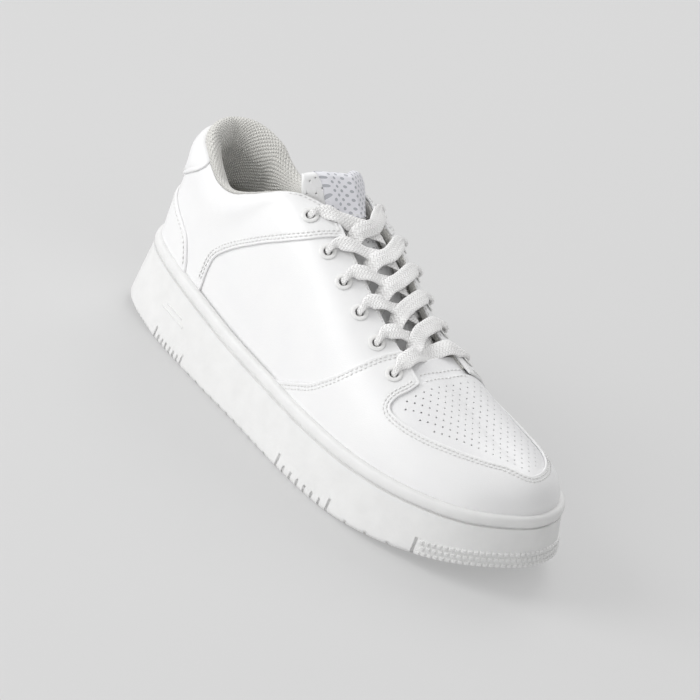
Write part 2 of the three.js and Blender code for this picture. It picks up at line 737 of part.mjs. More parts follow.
// A stiff tip just past one end of the lace.
function laceTip(share, way) {
  const along = laceRoute.getTangentAt(share).multiplyScalar(way);
  const middle = laceRoute.getPointAt(share).addScaledVector(along, 0.3 + TIP_LENGTH / 2);
  const turn = new THREE.Quaternion().setFromUnitVectors(new THREE.Vector3(0, 1, 0), along);
  const tip = new THREE.CylinderGeometry(1.5, 1.5, TIP_LENGTH, 10);
  return bare(tip.applyQuaternion(turn).translate(middle.x, middle.y, middle.z));
}
add("lace_tip_1", "tip", laceTip(0, -1));
add("lace_tip_2", "tip", laceTip(1, 1));

export default shoe;
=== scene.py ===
import math

import bpy
import numpy as np
from mathutils import Matrix, Vector
from mathutils.bvhtree import BVHTree
from mathutils.geometry import delaunay_2d_cdt


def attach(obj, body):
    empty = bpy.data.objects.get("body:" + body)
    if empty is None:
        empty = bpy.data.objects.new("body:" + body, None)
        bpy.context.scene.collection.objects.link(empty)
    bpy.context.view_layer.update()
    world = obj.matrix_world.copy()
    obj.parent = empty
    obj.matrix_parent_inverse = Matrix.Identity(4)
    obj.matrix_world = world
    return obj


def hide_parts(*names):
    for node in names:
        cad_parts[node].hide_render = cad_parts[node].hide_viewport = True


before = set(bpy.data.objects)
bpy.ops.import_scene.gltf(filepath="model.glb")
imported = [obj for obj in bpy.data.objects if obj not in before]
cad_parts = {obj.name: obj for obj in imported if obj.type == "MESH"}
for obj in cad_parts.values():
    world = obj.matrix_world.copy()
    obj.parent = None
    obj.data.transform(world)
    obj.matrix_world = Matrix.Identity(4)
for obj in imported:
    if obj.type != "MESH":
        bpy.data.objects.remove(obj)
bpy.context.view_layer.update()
MM = 0.001

# ---------------------------------------------------------------- camera

AZIMUTH, ELEVATION, ROLL = (math.radians(a) for a in (39.6, 27.0, 19.8))
DISTANCE = 2949.0
LENS = 302.6


def camera_axes():
    back = np.array([
        math.sin(AZIMUTH) * math.cos(ELEVATION),
        -math.cos(AZIMUTH) * math.cos(ELEVATION),
        math.sin(ELEVATION),
    ])
    level_right = np.array([math.cos(AZIMUTH), math.sin(AZIMUTH), 0.0])
    level_up = np.cross(back, level_right)
    right = math.cos(ROLL) * level_right + math.sin(ROLL) * level_up
    up = -math.sin(ROLL) * level_right + math.cos(ROLL) * level_up
    return right, up, back


def add_camera():
    right, up, back = camera_axes()
    data = bpy.data.cameras.new("camera")
    data.lens = LENS
    data.sensor_width = 36
    data.clip_end = 20
    camera = bpy.data.objects.new("camera", data)
    place = np.array([0, 0, 45.0]) + back * DISTANCE - 1.75 * right + 5.06 * up
    turn = Matrix([right, up, back]).transposed().to_4x4()
    camera.matrix_world = Matrix.Translation(Vector(place * MM)) @ turn
    bpy.context.scene.collection.objects.link(camera)
    bpy.context.scene.camera = camera


add_camera()

# ---------------------------------------------------------------- the shoe's dimensions

FOOTPRINT = [
    [-145, 0], [-136, -24], [-110, -35], [-65, -42], [-20, -47], [25, -52.5], [65, -52.5],
    [100, -44], [128, -26.5], [144, 3], [137, 31], [116, 48], [80, 48.5], [40, 45.5],
    [0, 36.5], [-45, 32.5], [-85, 32.5], [-115, 32], [-137, 20],
]
LIP_HEIGHT = [[-145, 44], [-100, 40], [-40, 34.5], [30, 33.5], [80, 35], [120, 38.5], [145, 43]]
RIDGE_HEIGHT = [
    [-120, 114], [-60, 117], [-30, 110.5], [0, 97.5], [30, 83], [60, 72], [90, 62.5], [118, 57],
]
RIDGE_SIDE = [[-120, 0], [-40, -1], [20, 0], [80, 3], [118, 5]]
FULLNESS = [[-145, 0.92], [-60, 0.92], [-30, 0.88], [20, 0.72], [60, 0.64], [145, 0.64]]
RIDGE_REACH = 0.8
INSTEP_SHIFT = [4, 7]  # forward and to the inner side, at the top of the throat
HEEL_LIFT = 4.8
TOE_SPRING = 15
CUP_INSET = 7.3
CUP_FLOOR = 7
UPPER_INSET = 8
FEATHER_DROP = 4
BOARD_INSET = 12.8
EYELETS = [[122.5, 70.5], [144.5, 68], [162.5, 67.3], [181, 67], [199.8, 66.5], [219.6, 63]]
EYELET_HOLE = 3.2
TONGUE_SUNK = 9
TONGUE_RISE = [[-50, 19.6], [-42, 11.6], [-33, 5.6], [-24, 2.8], [-12, 1.4]]
TONGUE_TOP = -50
TONGUE_FRONT = 62
LACE_WIDTH = 8.8
LACE_THICK = 1.5
LACE_IN_HOLE = [3.4, 1.9]
BRAID_COLUMNS = 6
BRAID_PITCH = 1.7
BRAID_SLANT = 0.8
RIM = [
    [0, 52], [18, 50], [36, 45], [50, 40], [62, 36.5], [75, 38], [88, 46.5], [96, 56], [101, 65],
    [108, 76], [121, 86],
]
TAB_REACH = 50
TAB_SEAM = [[0, 20.5], [24, 21.8], [45, 31.5], [TAB_REACH, 40]]
HEEL_SEAM = [[0, 16.5], [25, 15.4], [43, 12.4], [54, 10.2], [60, 7.4], [65.5, 2], [66, -5]]
COLLAR_SEAM = [
    [80.5, -5], [80.4, 6], [82, 11.5], [88, 16.2], [97, 22], [108.6, 30], [122.7, 43], [133.5, 60],
    [140.5, 84],
]
FRONT_SEAM = [
    [139, -5], [147, 0.4], [158, 2.8], [174.3, 10.3], [183, 16.7], [193, 29.6], [201, 47], [207, 65],
    [212, 79.6],
]
VAMP_SIDE = [
    [234, 75.6], [233, 65], [230, 53], [231, 44.5], [240, 43.6], [256, 48], [274, 56.4], [294, 66.6],
    [316, 75],
]
VAMP_TOE = [[345, 70], [371, 59], [395, 50]]
THROAT_TOP, THROAT_FOOT = [121, 86], [234, 75.6]
LINING_FRONT = 229
LINING_THICK = 0.8
PAD_END = [80, 98]  # the collar's padding fades out here, round the sole
OVERLAP = 1.25  # overlays stand this far proud of the panels under them

# ---------------------------------------------------------------- smooth curves


def through(points):
    """A smooth function through [x, y] points, constant beyond its ends."""
    xs, ys = np.array(points, float).T
    slopes = np.empty(len(xs))
    slopes[1:-1] = (ys[2:] - ys[:-2]) / (xs[2:] - xs[:-2])
    slopes[0] = (ys[1] - ys[0]) / (xs[1] - xs[0])
    slopes[-1] = (ys[-1] - ys[-2]) / (xs[-1] - xs[-2])

    def value(x):
        x = np.clip(np.asarray(x, float), xs[0], xs[-1])
        i = np.clip(np.searchsorted(xs, x) - 1, 0, len(xs) - 2)
        width = xs[i + 1] - xs[i]
        t = (x - xs[i]) / width
        return (
            (2 * t**3 - 3 * t**2 + 1) * ys[i]
            + (t**3 - 2 * t**2 + t) * width * slopes[i]
            + (3 * t**2 - 2 * t**3) * ys[i + 1]
            + (t**3 - t**2) * width * slopes[i + 1]
        )

    return value


def ease(x, start, end):
    t = np.clip((np.asarray(x, float) - start) / (end - start), 0, 1)
    return t * t * (3 - 2 * t)


def mix(a, b, t):
    return a + (b - a) * t


def unit(v):
    return v / np.maximum(np.linalg.norm(v, axis=-1, keepdims=True), 1e-9)


def lengths_along(points):
    return np.r_[0, np.cumsum(np.linalg.norm(np.diff(points, axis=0), axis=1))]


def resample(points, spacing):
    """The same run of points, evenly spaced."""
    points = np.array(points, float)
    along = lengths_along(points)
    count = max(int(round(along[-1] / spacing)), 1)
    at = np.linspace(0, along[-1], count + 1)
    return np.stack([np.interp(at, along, points[:, k]) for k in range(points.shape[1])], 1)


def catmull_rom(p0, p1, p2, p3, count):
    """The uniform Catmull-Rom piece from p1 to p2, without its last point."""
    t = (np.arange(count) / count)[:, None]
    return 0.5 * (
        2 * p1 + (p2 - p0) * t + (2 * p0 - 5 * p1 + 4 * p2 - p3) * t**2
        + (3 * p1 - p0 - 3 * p2 + p3) * t**3
    )


def spline(points, spacing):
    """A smooth curve through a few points, evenly spaced."""
    p = np.array(points, float)
    last = len(p) - 1
    parts = [
        catmull_rom(p[max(i - 1, 0)], p[i], p[i + 1], p[min(i + 2, last)], 40) for i in range(last)
    ]
    return resample(np.vstack([*parts, p[-1:]]), spacing)


def joined(*runs):
    return np.vstack([run if i == 0 else run[1:] for i, run in enumerate(runs)])


lip_height = through(LIP_HEIGHT)
ridge_height = through(RIDGE_HEIGHT)
ridge_side = through(RIDGE_SIDE)
fullness = through(FULLNESS)
tongue_rise = through(TONGUE_RISE)
rim_line = through(RIM)


def sole_bottom(x):
    heel = HEEL_LIFT * (np.clip(-80 - x, 0, None) / 65) ** 2
    return heel + TOE_SPRING * (np.clip(x - 45, 0, None) / 100) ** 1.8


def closed_curve(points):
    p = np.array(points, float)
    count = len(p)
    parts = [
        catmull_rom(p[i - 1], p[i], p[(i + 1) % count], p[(i + 2) % count], 60) for i in range(count)
    ]
    return np.vstack([*parts, p[:1]])


outline = closed_curve(FOOTPRINT)
outline_along = lengths_along(outline)
GIRTH = outline_along[-1]
TOE_AROUND = outline_along[np.argmax(outline[:, 0])]
INNER_SCALE = (GIRTH - TOE_AROUND) / TOE_AROUND


def foot_point(around):
    around = np.mod(np.asarray(around, float), GIRTH)
    return np.stack([np.interp(around, outline_along, outline[:, k]) for k in (0, 1)], -1)


def inward(around):
    along = unit(foot_point(np.asarray(around) + 1.0) - foot_point(np.asarray(around) - 1.0))
    return np.stack([-along[..., 1], along[..., 0]], -1)


def around_at(x, outer):
    """The place round the outer or the inner side that has a given X."""
    split = np.argmax(outline[:, 0])
    if outer:
        return np.interp(x, outline[: split + 1, 0], outline_along[: split + 1])
    return np.interp(x, outline[split:, 0][::-1], outline_along[split:][::-1])


def ring_positions(count):
    """Places all round the sole whose outer and inner sides share the same X."""
    half = count // 2
    heel, toe = outline[0, 0] + 0.05, outline[:, 0].max() - 0.01
    x = heel + (toe - heel) * (1 - np.cos(np.pi * np.arange(half + 1) / half)) / 2
    return np.concatenate([around_at(x, True), around_at(x, False)[half - 1 : 0 : -1]])


def mirrored(points):
    """The same chart points on the inner side."""
    return np.array(points, float) * [-INNER_SCALE, 1]


# ---------------------------------------------------------------- the upper's surface
# A chart position is [millimetres round the sole from the heel, per cent of the way up].


def lean_over(points):
    """The instep sits to the inner side at the top of the throat."""
    x, y, z = points[..., 0], points[..., 1], points[..., 2]
    along = ease(x, -68, -42) * (1 - ease(x, -15, 38))
    share = along * ease(y, -24, 4) * ease(z, 64, 98)
    return points + share[..., None] * np.array([*INSTEP_SHIFT, 0.0])


def upper_face(around, up, depth=0.0):
    foot = foot_point(around)
    x = foot[..., 0]
    base = foot + inward(around) * np.asarray(UPPER_INSET + depth)[..., None]
    base_z = lip_height(x) - FEATHER_DROP
    top_x = x * RIDGE_REACH
    top = np.stack([top_x, ridge_side(top_x)], -1)
    top_z = ridge_height(top_x) - depth
    full = fullness(x)
    v = np.clip(up, 0, 200) / 100
    out = (1 - v) ** 3 + 3 * (1 - v) ** 2 * v + 3 * (1 - v) * v**2 * full
    rise = 3 * (1 - v) ** 2 * v * full + 3 * (1 - v) * v**2 + v**3
    flat = top + (base - top) * out[..., None]
    z = base_z + (top_z - base_z) * rise + np.minimum(up, 0)
    return lean_over(np.concatenate([flat, z[..., None]], -1))


def upper_normal(around, up):
    around, up = np.asarray(around, float), np.asarray(up, float)
    along = upper_face(around + 1, up) - upper_face(around - 1, up)
    above = np.minimum(up + 1, 99.9)
    rise = upper_face(around, above) - upper_face(around, above - 2)
    return unit(np.cross(along, rise))


def on_chart(points, height=0.0):
    """Points at a height above the upper's face, at chart positions."""
    around, up = points[:, 0], points[:, 1]
    height = np.broadcast_to(height, len(points))[:, None]
    return upper_face(around, up) + upper_normal(around, up) * height


def slid(line, gap):
    """A run of chart points moved to its left along the surface, in millimetres."""
    line = np.asarray(line, float)
    for _ in range(2):
        around, up = line[:, 0], line[:, 1]
        by_around = upper_face(around + 0.5, up) - upper_face(around - 0.5, up)
        by_up = upper_face(around, up + 0.5) - upper_face(around, up - 0.5)
        along = unit(np.gradient(upper_face(around, up), axis=0))
        wanted = np.cross(upper_normal(around, up), along) * gap / 2
        aa, au, uu = (by_around**2).sum(1), (by_around * by_up).sum(1), (by_up**2).sum(1)
        wa, wu = (by_around * wanted).sum(1), (by_up * wanted).sum(1)
        step = np.stack([wa * uu - wu * au, wu * aa - wa * au], 1) / (aa * uu - au**2)[:, None]
        line = line + step
    return line


def upper_tree():
    """The upper's face as a search tree, for pieces laid out in plan."""
    around = np.linspace(0, GIRTH, 640, endpoint=False)
    up = np.linspace(0, 100, 110)
    grid = upper_face(*np.meshgrid(around, up, indexing="ij"))
    points = [Vector(p) for p in grid.reshape(-1, 3)]
    faces = []
    for i in range(640):
        for j in range(109):
            a, b = i * 110 + j, (i + 1) % 640 * 110 + j
            faces.append((a, b, b + 1, a + 1))
    return BVHTree.FromPolygons(points, faces)


face_tree = upper_tree()
DOWN = Vector((0, 0, -1))


def plan_heights(points):
    heights = []
    for x, y in points:
        hit = face_tree.ray_cast(Vector((x, y, 300)), DOWN)[0]
        heights.append(hit.z if hit else 0.0)
    return np.array(heights)


def on_plan(points, height=0.0):
    """Points at a height above the upper's face, at places in plan."""
    z = plan_heights(points)
    slope_x = plan_heights(points + [0.7, 0]) - plan_heights(points - [0.7, 0])
    slope_y = plan_heights(points + [0, 0.7]) - plan_heights(points - [0, 0.7])
    normal = unit(np.stack([-slope_x / 1.4, -slope_y / 1.4, np.ones(len(z))], 1))
    return np.column_stack([points, z]) + normal * np.broadcast_to(height, len(z))[:, None]


# ---------------------------------------------------------------- making objects


def new_object(name, points, faces, look, body="upper", uv=None):
    """A smooth-shaded mesh object from points in millimetres; uv gives each point's place in
    the pattern, in millimetres."""
    mesh = bpy.data.meshes.new(name)
    mesh.from_pydata((np.asarray(points) * MM).tolist(), [], [tuple(f) for f in faces])
    mesh.update()
    mesh.shade_smooth()
    if uv is not None:
        layer = mesh.uv_layers.new(name="pattern")
        corners = np.empty(len(mesh.loops), int)
        mesh.loops.foreach_get("vertex_index", corners)
        layer.data.foreach_set("uv", np.asarray(uv, np.float32)[corners].ravel())
    piece = bpy.data.objects.new(name, mesh)
    bpy.context.scene.collection.objects.link(piece)
    mesh.materials.append(look[0])
    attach(piece, body)
    return piece


def inside(points, loops):
    """Which points lie inside an odd number of the loops."""
    found = np.zeros(len(points), bool)
    for loop in loops:
        low, high = loop.min(0), loop.max(0)
        near = np.where(((points >= low) & (points <= high)).all(1))[0]
        if not len(near):
            continue
        x, y = points[near, 0][:, None], points[near, 1][:, None]
        x1, y1 = loop[:, 0], loop[:, 1]
        x2, y2 = np.roll(x1, -1), np.roll(y1, -1)
        crosses = (y1 > y) != (y2 > y)
        with np.errstate(divide="ignore", invalid="ignore"):
            at = (x2 - x1) * (y - y1) / (y2 - y1) + x1
        odd = (crosses & (x < at)).sum(1) % 2 == 1
        found[near[odd]] ^= True
    return found


def edge_distance(points, loop):
    """Distance of each point from a closed loop of segments, in any number of dimensions."""
    start = loop
    step = np.roll(loop, -1, 0) - start
    square = np.maximum((step**2).sum(1), 1e-9)
    nearest = np.empty(len(points))
    for i in range(0, len(points), 1500):
        part = points[i : i + 1500]
        t = ((part @ step.T) - (start * step).sum(1)) / square
        t = np.clip(t, 0, 1)
        gap = (
            (part**2).sum(1)[:, None] + (start**2).sum(1) + t**2 * square
            + 2 * t * (start * step).sum(1) - 2 * part @ start.T - 2 * t * (part @ step.T)
        )
        nearest[i : i + 1500] = np.sqrt(np.maximum(gap.min(1), 0))
    return nearest


def drawn_in(loop, gap):
    """An anticlockwise loop moved inward."""
    step_in = unit(loop - np.roll(loop, 1, 0))
    step_out = unit(np.roll(loop, -1, 0) - loop)
    side = np.stack([-step_in[:, 1] - step_out[:, 1], step_in[:, 0] + step_out[:, 0]], 1)
    return loop + unit(side) * gap / np.maximum(np.linalg.norm(side, axis=1) / 2, 0.6)[:, None]


def anticlockwise(loop):
    x, y = loop.T
    area = (x * np.roll(y, -1) - np.roll(x, -1) * y).sum()
    return loop if area > 0 else loop[::-1]


def leather_sheet(name, loop, place, look, holes=(), step=2.0, thick=1.2, lift=0.0, roll=0.5,
                  channels=(), shape=None, body="upper"):
    """A cut panel with rolled edges. loop and holes are laid out flat and place() puts them on
    the surface; channels are the distances of its stitch grooves from the edge; shape() adds a
    height of its own from the place and the distance from the edge."""
    loop = anticlockwise(loop)
    rings = [0.12, 0.3, 0.6, 1.0] + [c + d for c in channels for d in (-0.4, 0, 0.4)]
    points = [loop] + [drawn_in(loop, gap) for gap in rings]
    edges = [[i, (i + 1) % len(loop)] for i in range(len(loop))]
    count = sum(len(p) for p in points)
    for hole in holes:
        edges += [[count + i, count + (i + 1) % len(hole)] for i in range(len(hole))]
        points.append(hole)
        count += len(hole)
    for hole in holes:
        middle = hole.mean(0)
        points.append(hole + 0.2 * unit(hole - middle))
    low, high = loop.min(0), loop.max(0)
    x, y = np.meshgrid(np.arange(low[0], high[0], step), np.arange(low[1], high[1], step * 0.866))
    x = x + (np.arange(len(x)) % 2 * step / 2)[:, None]
    grid = np.stack([x.ravel(), y.ravel()], 1)
    grid = grid[inside(grid, [loop, *holes])]
    keep = edge_distance(grid, loop) > max(rings) + step * 0.4
    for hole in holes:
        middle = hole.mean(0)
        radius = np.linalg.norm(hole - middle, axis=1).max()
        keep &= np.linalg.norm(grid - middle, axis=1) > radius + 0.6
    points.append(grid[keep])
    flat = np.vstack(points)
    made = delaunay_2d_cdt([Vector(p) for p in flat.tolist()], edges, [], 0, 1e-5, False)
    flat = np.array([[v.x, v.y] for v in made[0]])
    triangles = np.array([f for f in made[2] if len(f) == 3])
    triangles = triangles[inside(flat[triangles].mean(1), [loop, *holes])]
    used = np.unique(triangles)
    number = np.full(len(flat), -1)
    number[used] = np.arange(len(used))
    flat, triangles = flat[used], number[triangles]
    base = place(flat, 0.0)
    away = edge_distance(base, place(loop, 0.0))
    height = lift + np.zeros(len(flat))
    if shape is not None:
        height = height + shape(flat, away)
    bevel = np.clip(1 - away / roll, 0, 1)
    height = height - roll * (1 - np.sqrt(1 - bevel**2))
    for channel in channels:
        height = height - 0.32 * np.exp(-(((away - channel) / 0.35) ** 2))
    under = height - thick + roll * (1 - np.sqrt(1 - bevel**2))
    top, bottom = place(flat, height), place(flat, under)
    size = len(flat)
    side = np.vstack([triangles[:, [0, 1]], triangles[:, [1, 2]], triangles[:, [2, 0]]])
    code = side[:, 0] * size + side[:, 1]
    border = side[~np.isin(code, side[:, 1] * size + side[:, 0])]
    faces = triangles.tolist() + (triangles[:, ::-1] + size).tolist()
    faces += [[b, a, a + size, b + size] for a, b in border.tolist()]
    return new_object(name, np.vstack([top, bottom]), faces, look, body, np.vstack([flat, flat]))


def circle(centre, radius, sides):
    turn = np.arange(sides) * 2 * np.pi / sides
    return np.array(centre) + radius * np.stack([np.cos(turn), np.sin(turn)], 1)


def merged(parts):
    """Several (points, faces) as one."""
    points, faces, count = [], [], 0
    for p, f in parts:
        points.append(p)
        faces += [[i + count for i in face] for face in f]
        count += len(p)
    return np.vstack(points), faces


def stitch_form(length, radius):
    """One thread stitch lying along X, sinking at both ends."""
    rings, sides = 7, 6
    t = np.linspace(-1, 1, rings)
    thick = radius * np.sqrt(np.clip(1 - t**4, 0.04, 1))
    turn = np.arange(sides) * 2 * np.pi / sides
    points = np.stack([
        np.repeat(t * length / 2, sides),
        np.outer(thick, np.cos(turn)).ravel(),
        (np.outer(thick * 0.8, np.sin(turn)) + (radius * 0.55 * (1 - 1.6 * t**2))[:, None]).ravel(),
    ], 1)
    faces = []
    for i in range(rings - 1):
        for k in range(sides):
            a, b = i * sides + k, i * sides + (k + 1) % sides
            faces.append([a, b, b + sides, a + sides])
    points = np.vstack([points, [[-length / 2, 0, 0], [length / 2, 0, 0]]])
    for k in range(sides):
        a, b = k, (k + 1) % sides
        end = (rings - 1) * sides
        faces.append([len(points) - 2, b, a, a])
        faces.append([len(points) - 1, end + a, end + b, end + b])
    return points, [list(dict.fromkeys(f)) for f in faces]


def stitches(line, place, pitch=2.6, length=1.85, radius=0.34):
    """A row of stitches along a line that is laid out flat."""
    fine = resample(line, 0.25)
    low, high = place(fine, 0.0), place(fine, 1.0)
    along = lengths_along(low)
    form, faces = stitch_form(length, radius)
    parts = []
    for at in np.arange(pitch / 2, along[-1] - pitch / 2, pitch):
        here = np.array([np.interp(at, along, low[:, k]) for k in range(3)])
        out = unit(np.array([np.interp(at, along, (high - low)[:, k]) for k in range(3)]))
        ahead = np.array([np.interp(at + 0.6, along, low[:, k]) for k in range(3)])
        behind = np.array([np.interp(at - 0.6, along, low[:, k]) for k in range(3)])
        tangent = unit(ahead - behind)
        side = np.cross(out, tangent)
        parts.append((here + form @ np.array([tangent, side, out]), faces))
    return parts


def offset_run(run, gap):
    """A flat run of points moved to its left."""
    tangent = np.gradient(run, axis=0)
    return run + unit(np.stack([-tangent[:, 1], tangent[:, 0]], 1)) * gap


def grid_faces(rows, columns, wrap=False):
    faces = []
    for i in range(rows - 1):
        for j in range(columns if wrap else columns - 1):
            k = (j + 1) % columns
            here, ahead = i * columns, (i + 1) * columns
            faces.append([here + j, here + k, ahead + k, ahead + j])
    return faces


def border_faces(rows, columns, flipped=False):
    """Faces that join the borders of two equal grids of points."""
    border = [(i, 0) for i in range(rows)] + [(rows - 1, j) for j in range(1, columns)]
    border += [(i, columns - 1) for i in range(rows - 2, -1, -1)]
    border += [(0, j) for j in range(columns - 2, 0, -1)]
    ids = [i * columns + j for i, j in border]
    count = rows * columns
    pairs = list(zip(ids, ids[1:] + ids[:1]))
    if flipped:
        return [[b, a, a + count, b + count] for a, b in pairs]
    return [[a, b, b + count, a + count] for a, b in pairs]


def swept_faces(rows, columns):
    """Faces of sections that follow one another round a closed path."""
    faces = []
    for i in range(rows):
        k = (i + 1) % rows
        for j in range(columns - 1):
            here, ahead = i * columns + j, k * columns + j
            faces.append([here, ahead, ahead + 1, here + 1])
    return faces


# ---------------------------------------------------------------- materials


class Look:
    """A node material under construction: nodes are added and linked by name."""

    def __init__(self, name, colour, roughness, **fixed):
        self.material = bpy.data.materials.new(name)
        self.material.use_nodes = True
        self.tree = self.material.node_tree
        self.shader = self.tree.nodes["Principled BSDF"]
        self.shader.inputs["Base Color"].default_value = (*colour, 1)
        self.shader.inputs["Roughness"].default_value = roughness
        for socket, value in fixed.items():
            self.shader.inputs[socket.replace("_", " ")].default_value = value
        self.where = self.tree.nodes.new("ShaderNodeTexCoord")
        self.bumps = None

    def link(self, source, node, socket):
        self.tree.links.new(source, node.inputs[socket])

    def noise(self, scale, detail):
        node = self.tree.nodes.new("ShaderNodeTexNoise")
        node.inputs["Scale"].default_value = scale
        node.inputs["Detail"].default_value = detail
        self.link(self.where.outputs["Object"], node, "Vector")
        return node.outputs["Fac"]

    def cells(self, scale):
        node = self.tree.nodes.new("ShaderNodeTexVoronoi")
        node.inputs["Scale"].default_value = scale
        self.link(self.where.outputs["Object"], node, "Vector")
        return node.outputs["Distance"]

    def waves(self, scale, turn=0.0):
        """Ridges across the pattern's own coordinates."""
        mapping = self.tree.nodes.new("ShaderNodeMapping")
        mapping.inputs["Rotation"].default_value = (0, 0, turn)
        self.link(self.where.outputs["UV"], mapping, "Vector")
        node = self.tree.nodes.new("ShaderNodeTexWave")
        node.inputs["Scale"].default_value = scale
        self.tree.links.new(mapping.outputs["Vector"], node.inputs["Vector"])
        return node.outputs["Fac"]

    def math(self, operation, a, b):
        node = self.tree.nodes.new("ShaderNodeMath")
        node.operation = operation
        for i, value in enumerate((a, b)):
            if isinstance(value, (int, float)):
                node.inputs[i].default_value = value
            else:
                self.tree.links.new(value, node.inputs[i])
        return node.outputs[0]

    def ramp(self, factor, low, high, start=0.0, end=1.0):
        node = self.tree.nodes.new("ShaderNodeValToRGB")
        node.color_ramp.elements[0].position = start
        node.color_ramp.elements[1].position = end
        node.color_ramp.elements[0].color = (*low, 1)
        node.color_ramp.elements[1].color = (*high, 1)
        self.tree.links.new(factor, node.inputs["Fac"])
        return node.outputs["Color"]

    def colour(self, output):
        self.link(output, self.shader, "Base Color")

    def roughness(self, factor, low, high):
        node = self.tree.nodes.new("ShaderNodeMapRange")
        node.inputs["To Min"].default_value = low
        node.inputs["To Max"].default_value = high
        self.tree.links.new(factor, node.inputs["Value"])
        self.link(node.outputs["Result"], self.shader, "Roughness")

    def bump(self, height, distance, strength=1.0):
        node = self.tree.nodes.new("ShaderNodeBump")
        node.inputs["Distance"].default_value = distance
        node.inputs["Strength"].default_value = strength
        self.tree.links.new(height, node.inputs["Height"])
        if self.bumps is not None:
            self.tree.links.new(self.bumps, node.inputs["Normal"])
        self.bumps = node.outputs["Normal"]
        self.link(self.bumps, self.shader, "Normal")


def leather_look(name, colour, shade):
    look = Look(name, colour, 0.36, Coat_Weight=0.08, Coat_Roughness=0.3)
    look.colour(look.ramp(look.noise(55, 4), shade, colour, 0.3, 0.7))
    look.roughness(look.noise(180, 3), 0.33, 0.47)
    look.bump(look.noise(26, 2), 0.0006, 0.35)
    look.bump(look.cells(1500), 0.00012, 0.35)
    look.bump(look.noise(2600, 3), 0.00008, 0.4)
    return look.material, "leather"


def plain_look(name, slot, low, high, roughness, grain, depth, **fixed):
    look = Look(name, high, roughness, **fixed)
    look.colour(look.ramp(look.noise(grain * 0.15, 3), low, high, 0.3, 0.7))
    look.roughness(look.noise(grain * 0.4, 2), max(roughness - 0.07, 0.05), min(roughness + 0.07, 1))
    look.bump(look.noise(grain, 4), depth, 0.6)
    return look.material, slot


def mesh_look(name, slot, low, high, pitch):
    """Knitted spacer mesh: rows of small round cells, in the piece's own pattern coordinates."""
    look = Look(name, high, 0.85, Sheen_Weight=0.25, Sheen_Roughness=0.5)
    along = look.waves(0.314 / pitch * 0.5, math.radians(58))
    across = look.waves(0.314 / pitch * 0.5, math.radians(-58))
    knots = look.math("MULTIPLY", along, across)
    look.colour(look.ramp(knots, low, high, 0.05, 0.6))
    look.bump(knots, 0.0007, 1.0)
    look.bump(look.noise(1500, 3), 0.0001, 0.5)
    return look.material, slot


def lace_look():
    """Flat braid: columns of slanting stitches that turn back and forth across the lace."""
    look = Look("lace_cotton_braid", (0.93, 0.925, 0.91), 0.8, Sheen_Weight=0.3, Sheen_Roughness=0.5)
    parts = look.tree.nodes.new("ShaderNodeSeparateXYZ")
    look.link(look.where.outputs["UV"], parts, "Vector")
    slant = look.math("PINGPONG", look.math("MULTIPLY", parts.outputs["Y"], BRAID_COLUMNS / LACE_WIDTH), 1.0)
    travelled = look.math("MULTIPLY", parts.outputs["X"], 1 / BRAID_PITCH)
    phase = look.math("ADD", travelled, look.math("MULTIPLY", slant, BRAID_SLANT))
    wave = look.math("SINE", look.math("MULTIPLY", phase, math.pi), 0.0)
    cell = look.math("ABSOLUTE", wave, 0.0)
    thread = look.math("POWER", cell, 0.5)
    fibre = look.math("MULTIPLY", thread, look.math("ADD", look.noise(900, 4), 0.35))
    look.colour(look.ramp(fibre, (0.93, 0.925, 0.915), (0.99, 0.985, 0.98), 0.22, 0.7))
    look.bump(thread, 0.0004, 0.8)
    look.bump(look.noise(2200, 4), 0.00018, 0.7)
    return look.material, "lace_cotton"


def label_look():
    """Satin weave with a generic field of small lozenges."""
    look = Look("label_satin_weave", (0.6, 0.6, 0.65), 0.36, Sheen_Weight=0.2, Anisotropic=0.4)
    one = look.waves(0.1, math.radians(45))
    two = look.waves(0.1, math.radians(-45))
    lozenges = look.math("GREATER_THAN", look.math("MULTIPLY", one, two), 0.5)
    look.colour(look.ramp(lozenges, (0.93, 0.93, 0.98), (0.52, 0.53, 0.57), 0.0, 1.0))
    look.bump(look.math("ADD", look.waves(1.1), look.waves(1.1, math.radians(90))), 0.00008, 0.6)
    look.bump(look.noise(90, 2), 0.0006, 0.3)
    return look.material, "label_satin"


LEATHER = leather_look("leather_white_smooth", (0.88, 0.88, 0.88), (0.86, 0.86, 0.865))
TUMBLED = leather_look("leather_white_vamp", (0.87, 0.87, 0.875), (0.84, 0.84, 0.85))
RUBBER = plain_look(
    "rubber_white_matte", "cup_rubber",
    (0.78, 0.78, 0.775), (0.82, 0.82, 0.815), 0.55, 700, 0.0001)
THREAD = plain_look(
    "thread_white_bonded", "leather",
    (0.76, 0.76, 0.75), (0.86, 0.86, 0.85), 0.55, 3000, 0.00006)
LINING = mesh_look(
    "lining_spacer_mesh", "lining_mesh",
    (0.7, 0.69, 0.655), (0.93, 0.925, 0.89), 0.74)
FOOTBED = mesh_look("sockliner_knit", "sockliner_fabric", (0.5, 0.5, 0.48), (0.74, 0.73, 0.7), 0.5)
FOAM = plain_look(
    "foam_cream_cells", "foam",
    (0.62, 0.58, 0.48), (0.75, 0.71, 0.6), 0.9, 1600, 0.0003)
BOARD = plain_look(
    "insole_fibre_board", "board",
    (0.42, 0.33, 0.2), (0.6, 0.48, 0.32), 0.85, 900, 0.0002)
STIFFENER = plain_look(
    "stiffener_fibre", "stiffener",
    (0.6, 0.57, 0.5), (0.7, 0.67, 0.6), 0.7, 1200, 0.0002)
ENAMEL = plain_look(
    "eyelet_white_enamel", "eyelet_enamel",
    (0.8, 0.8, 0.79), (0.86, 0.86, 0.85), 0.28, 400, 0.00003)
COTTON = lace_look()
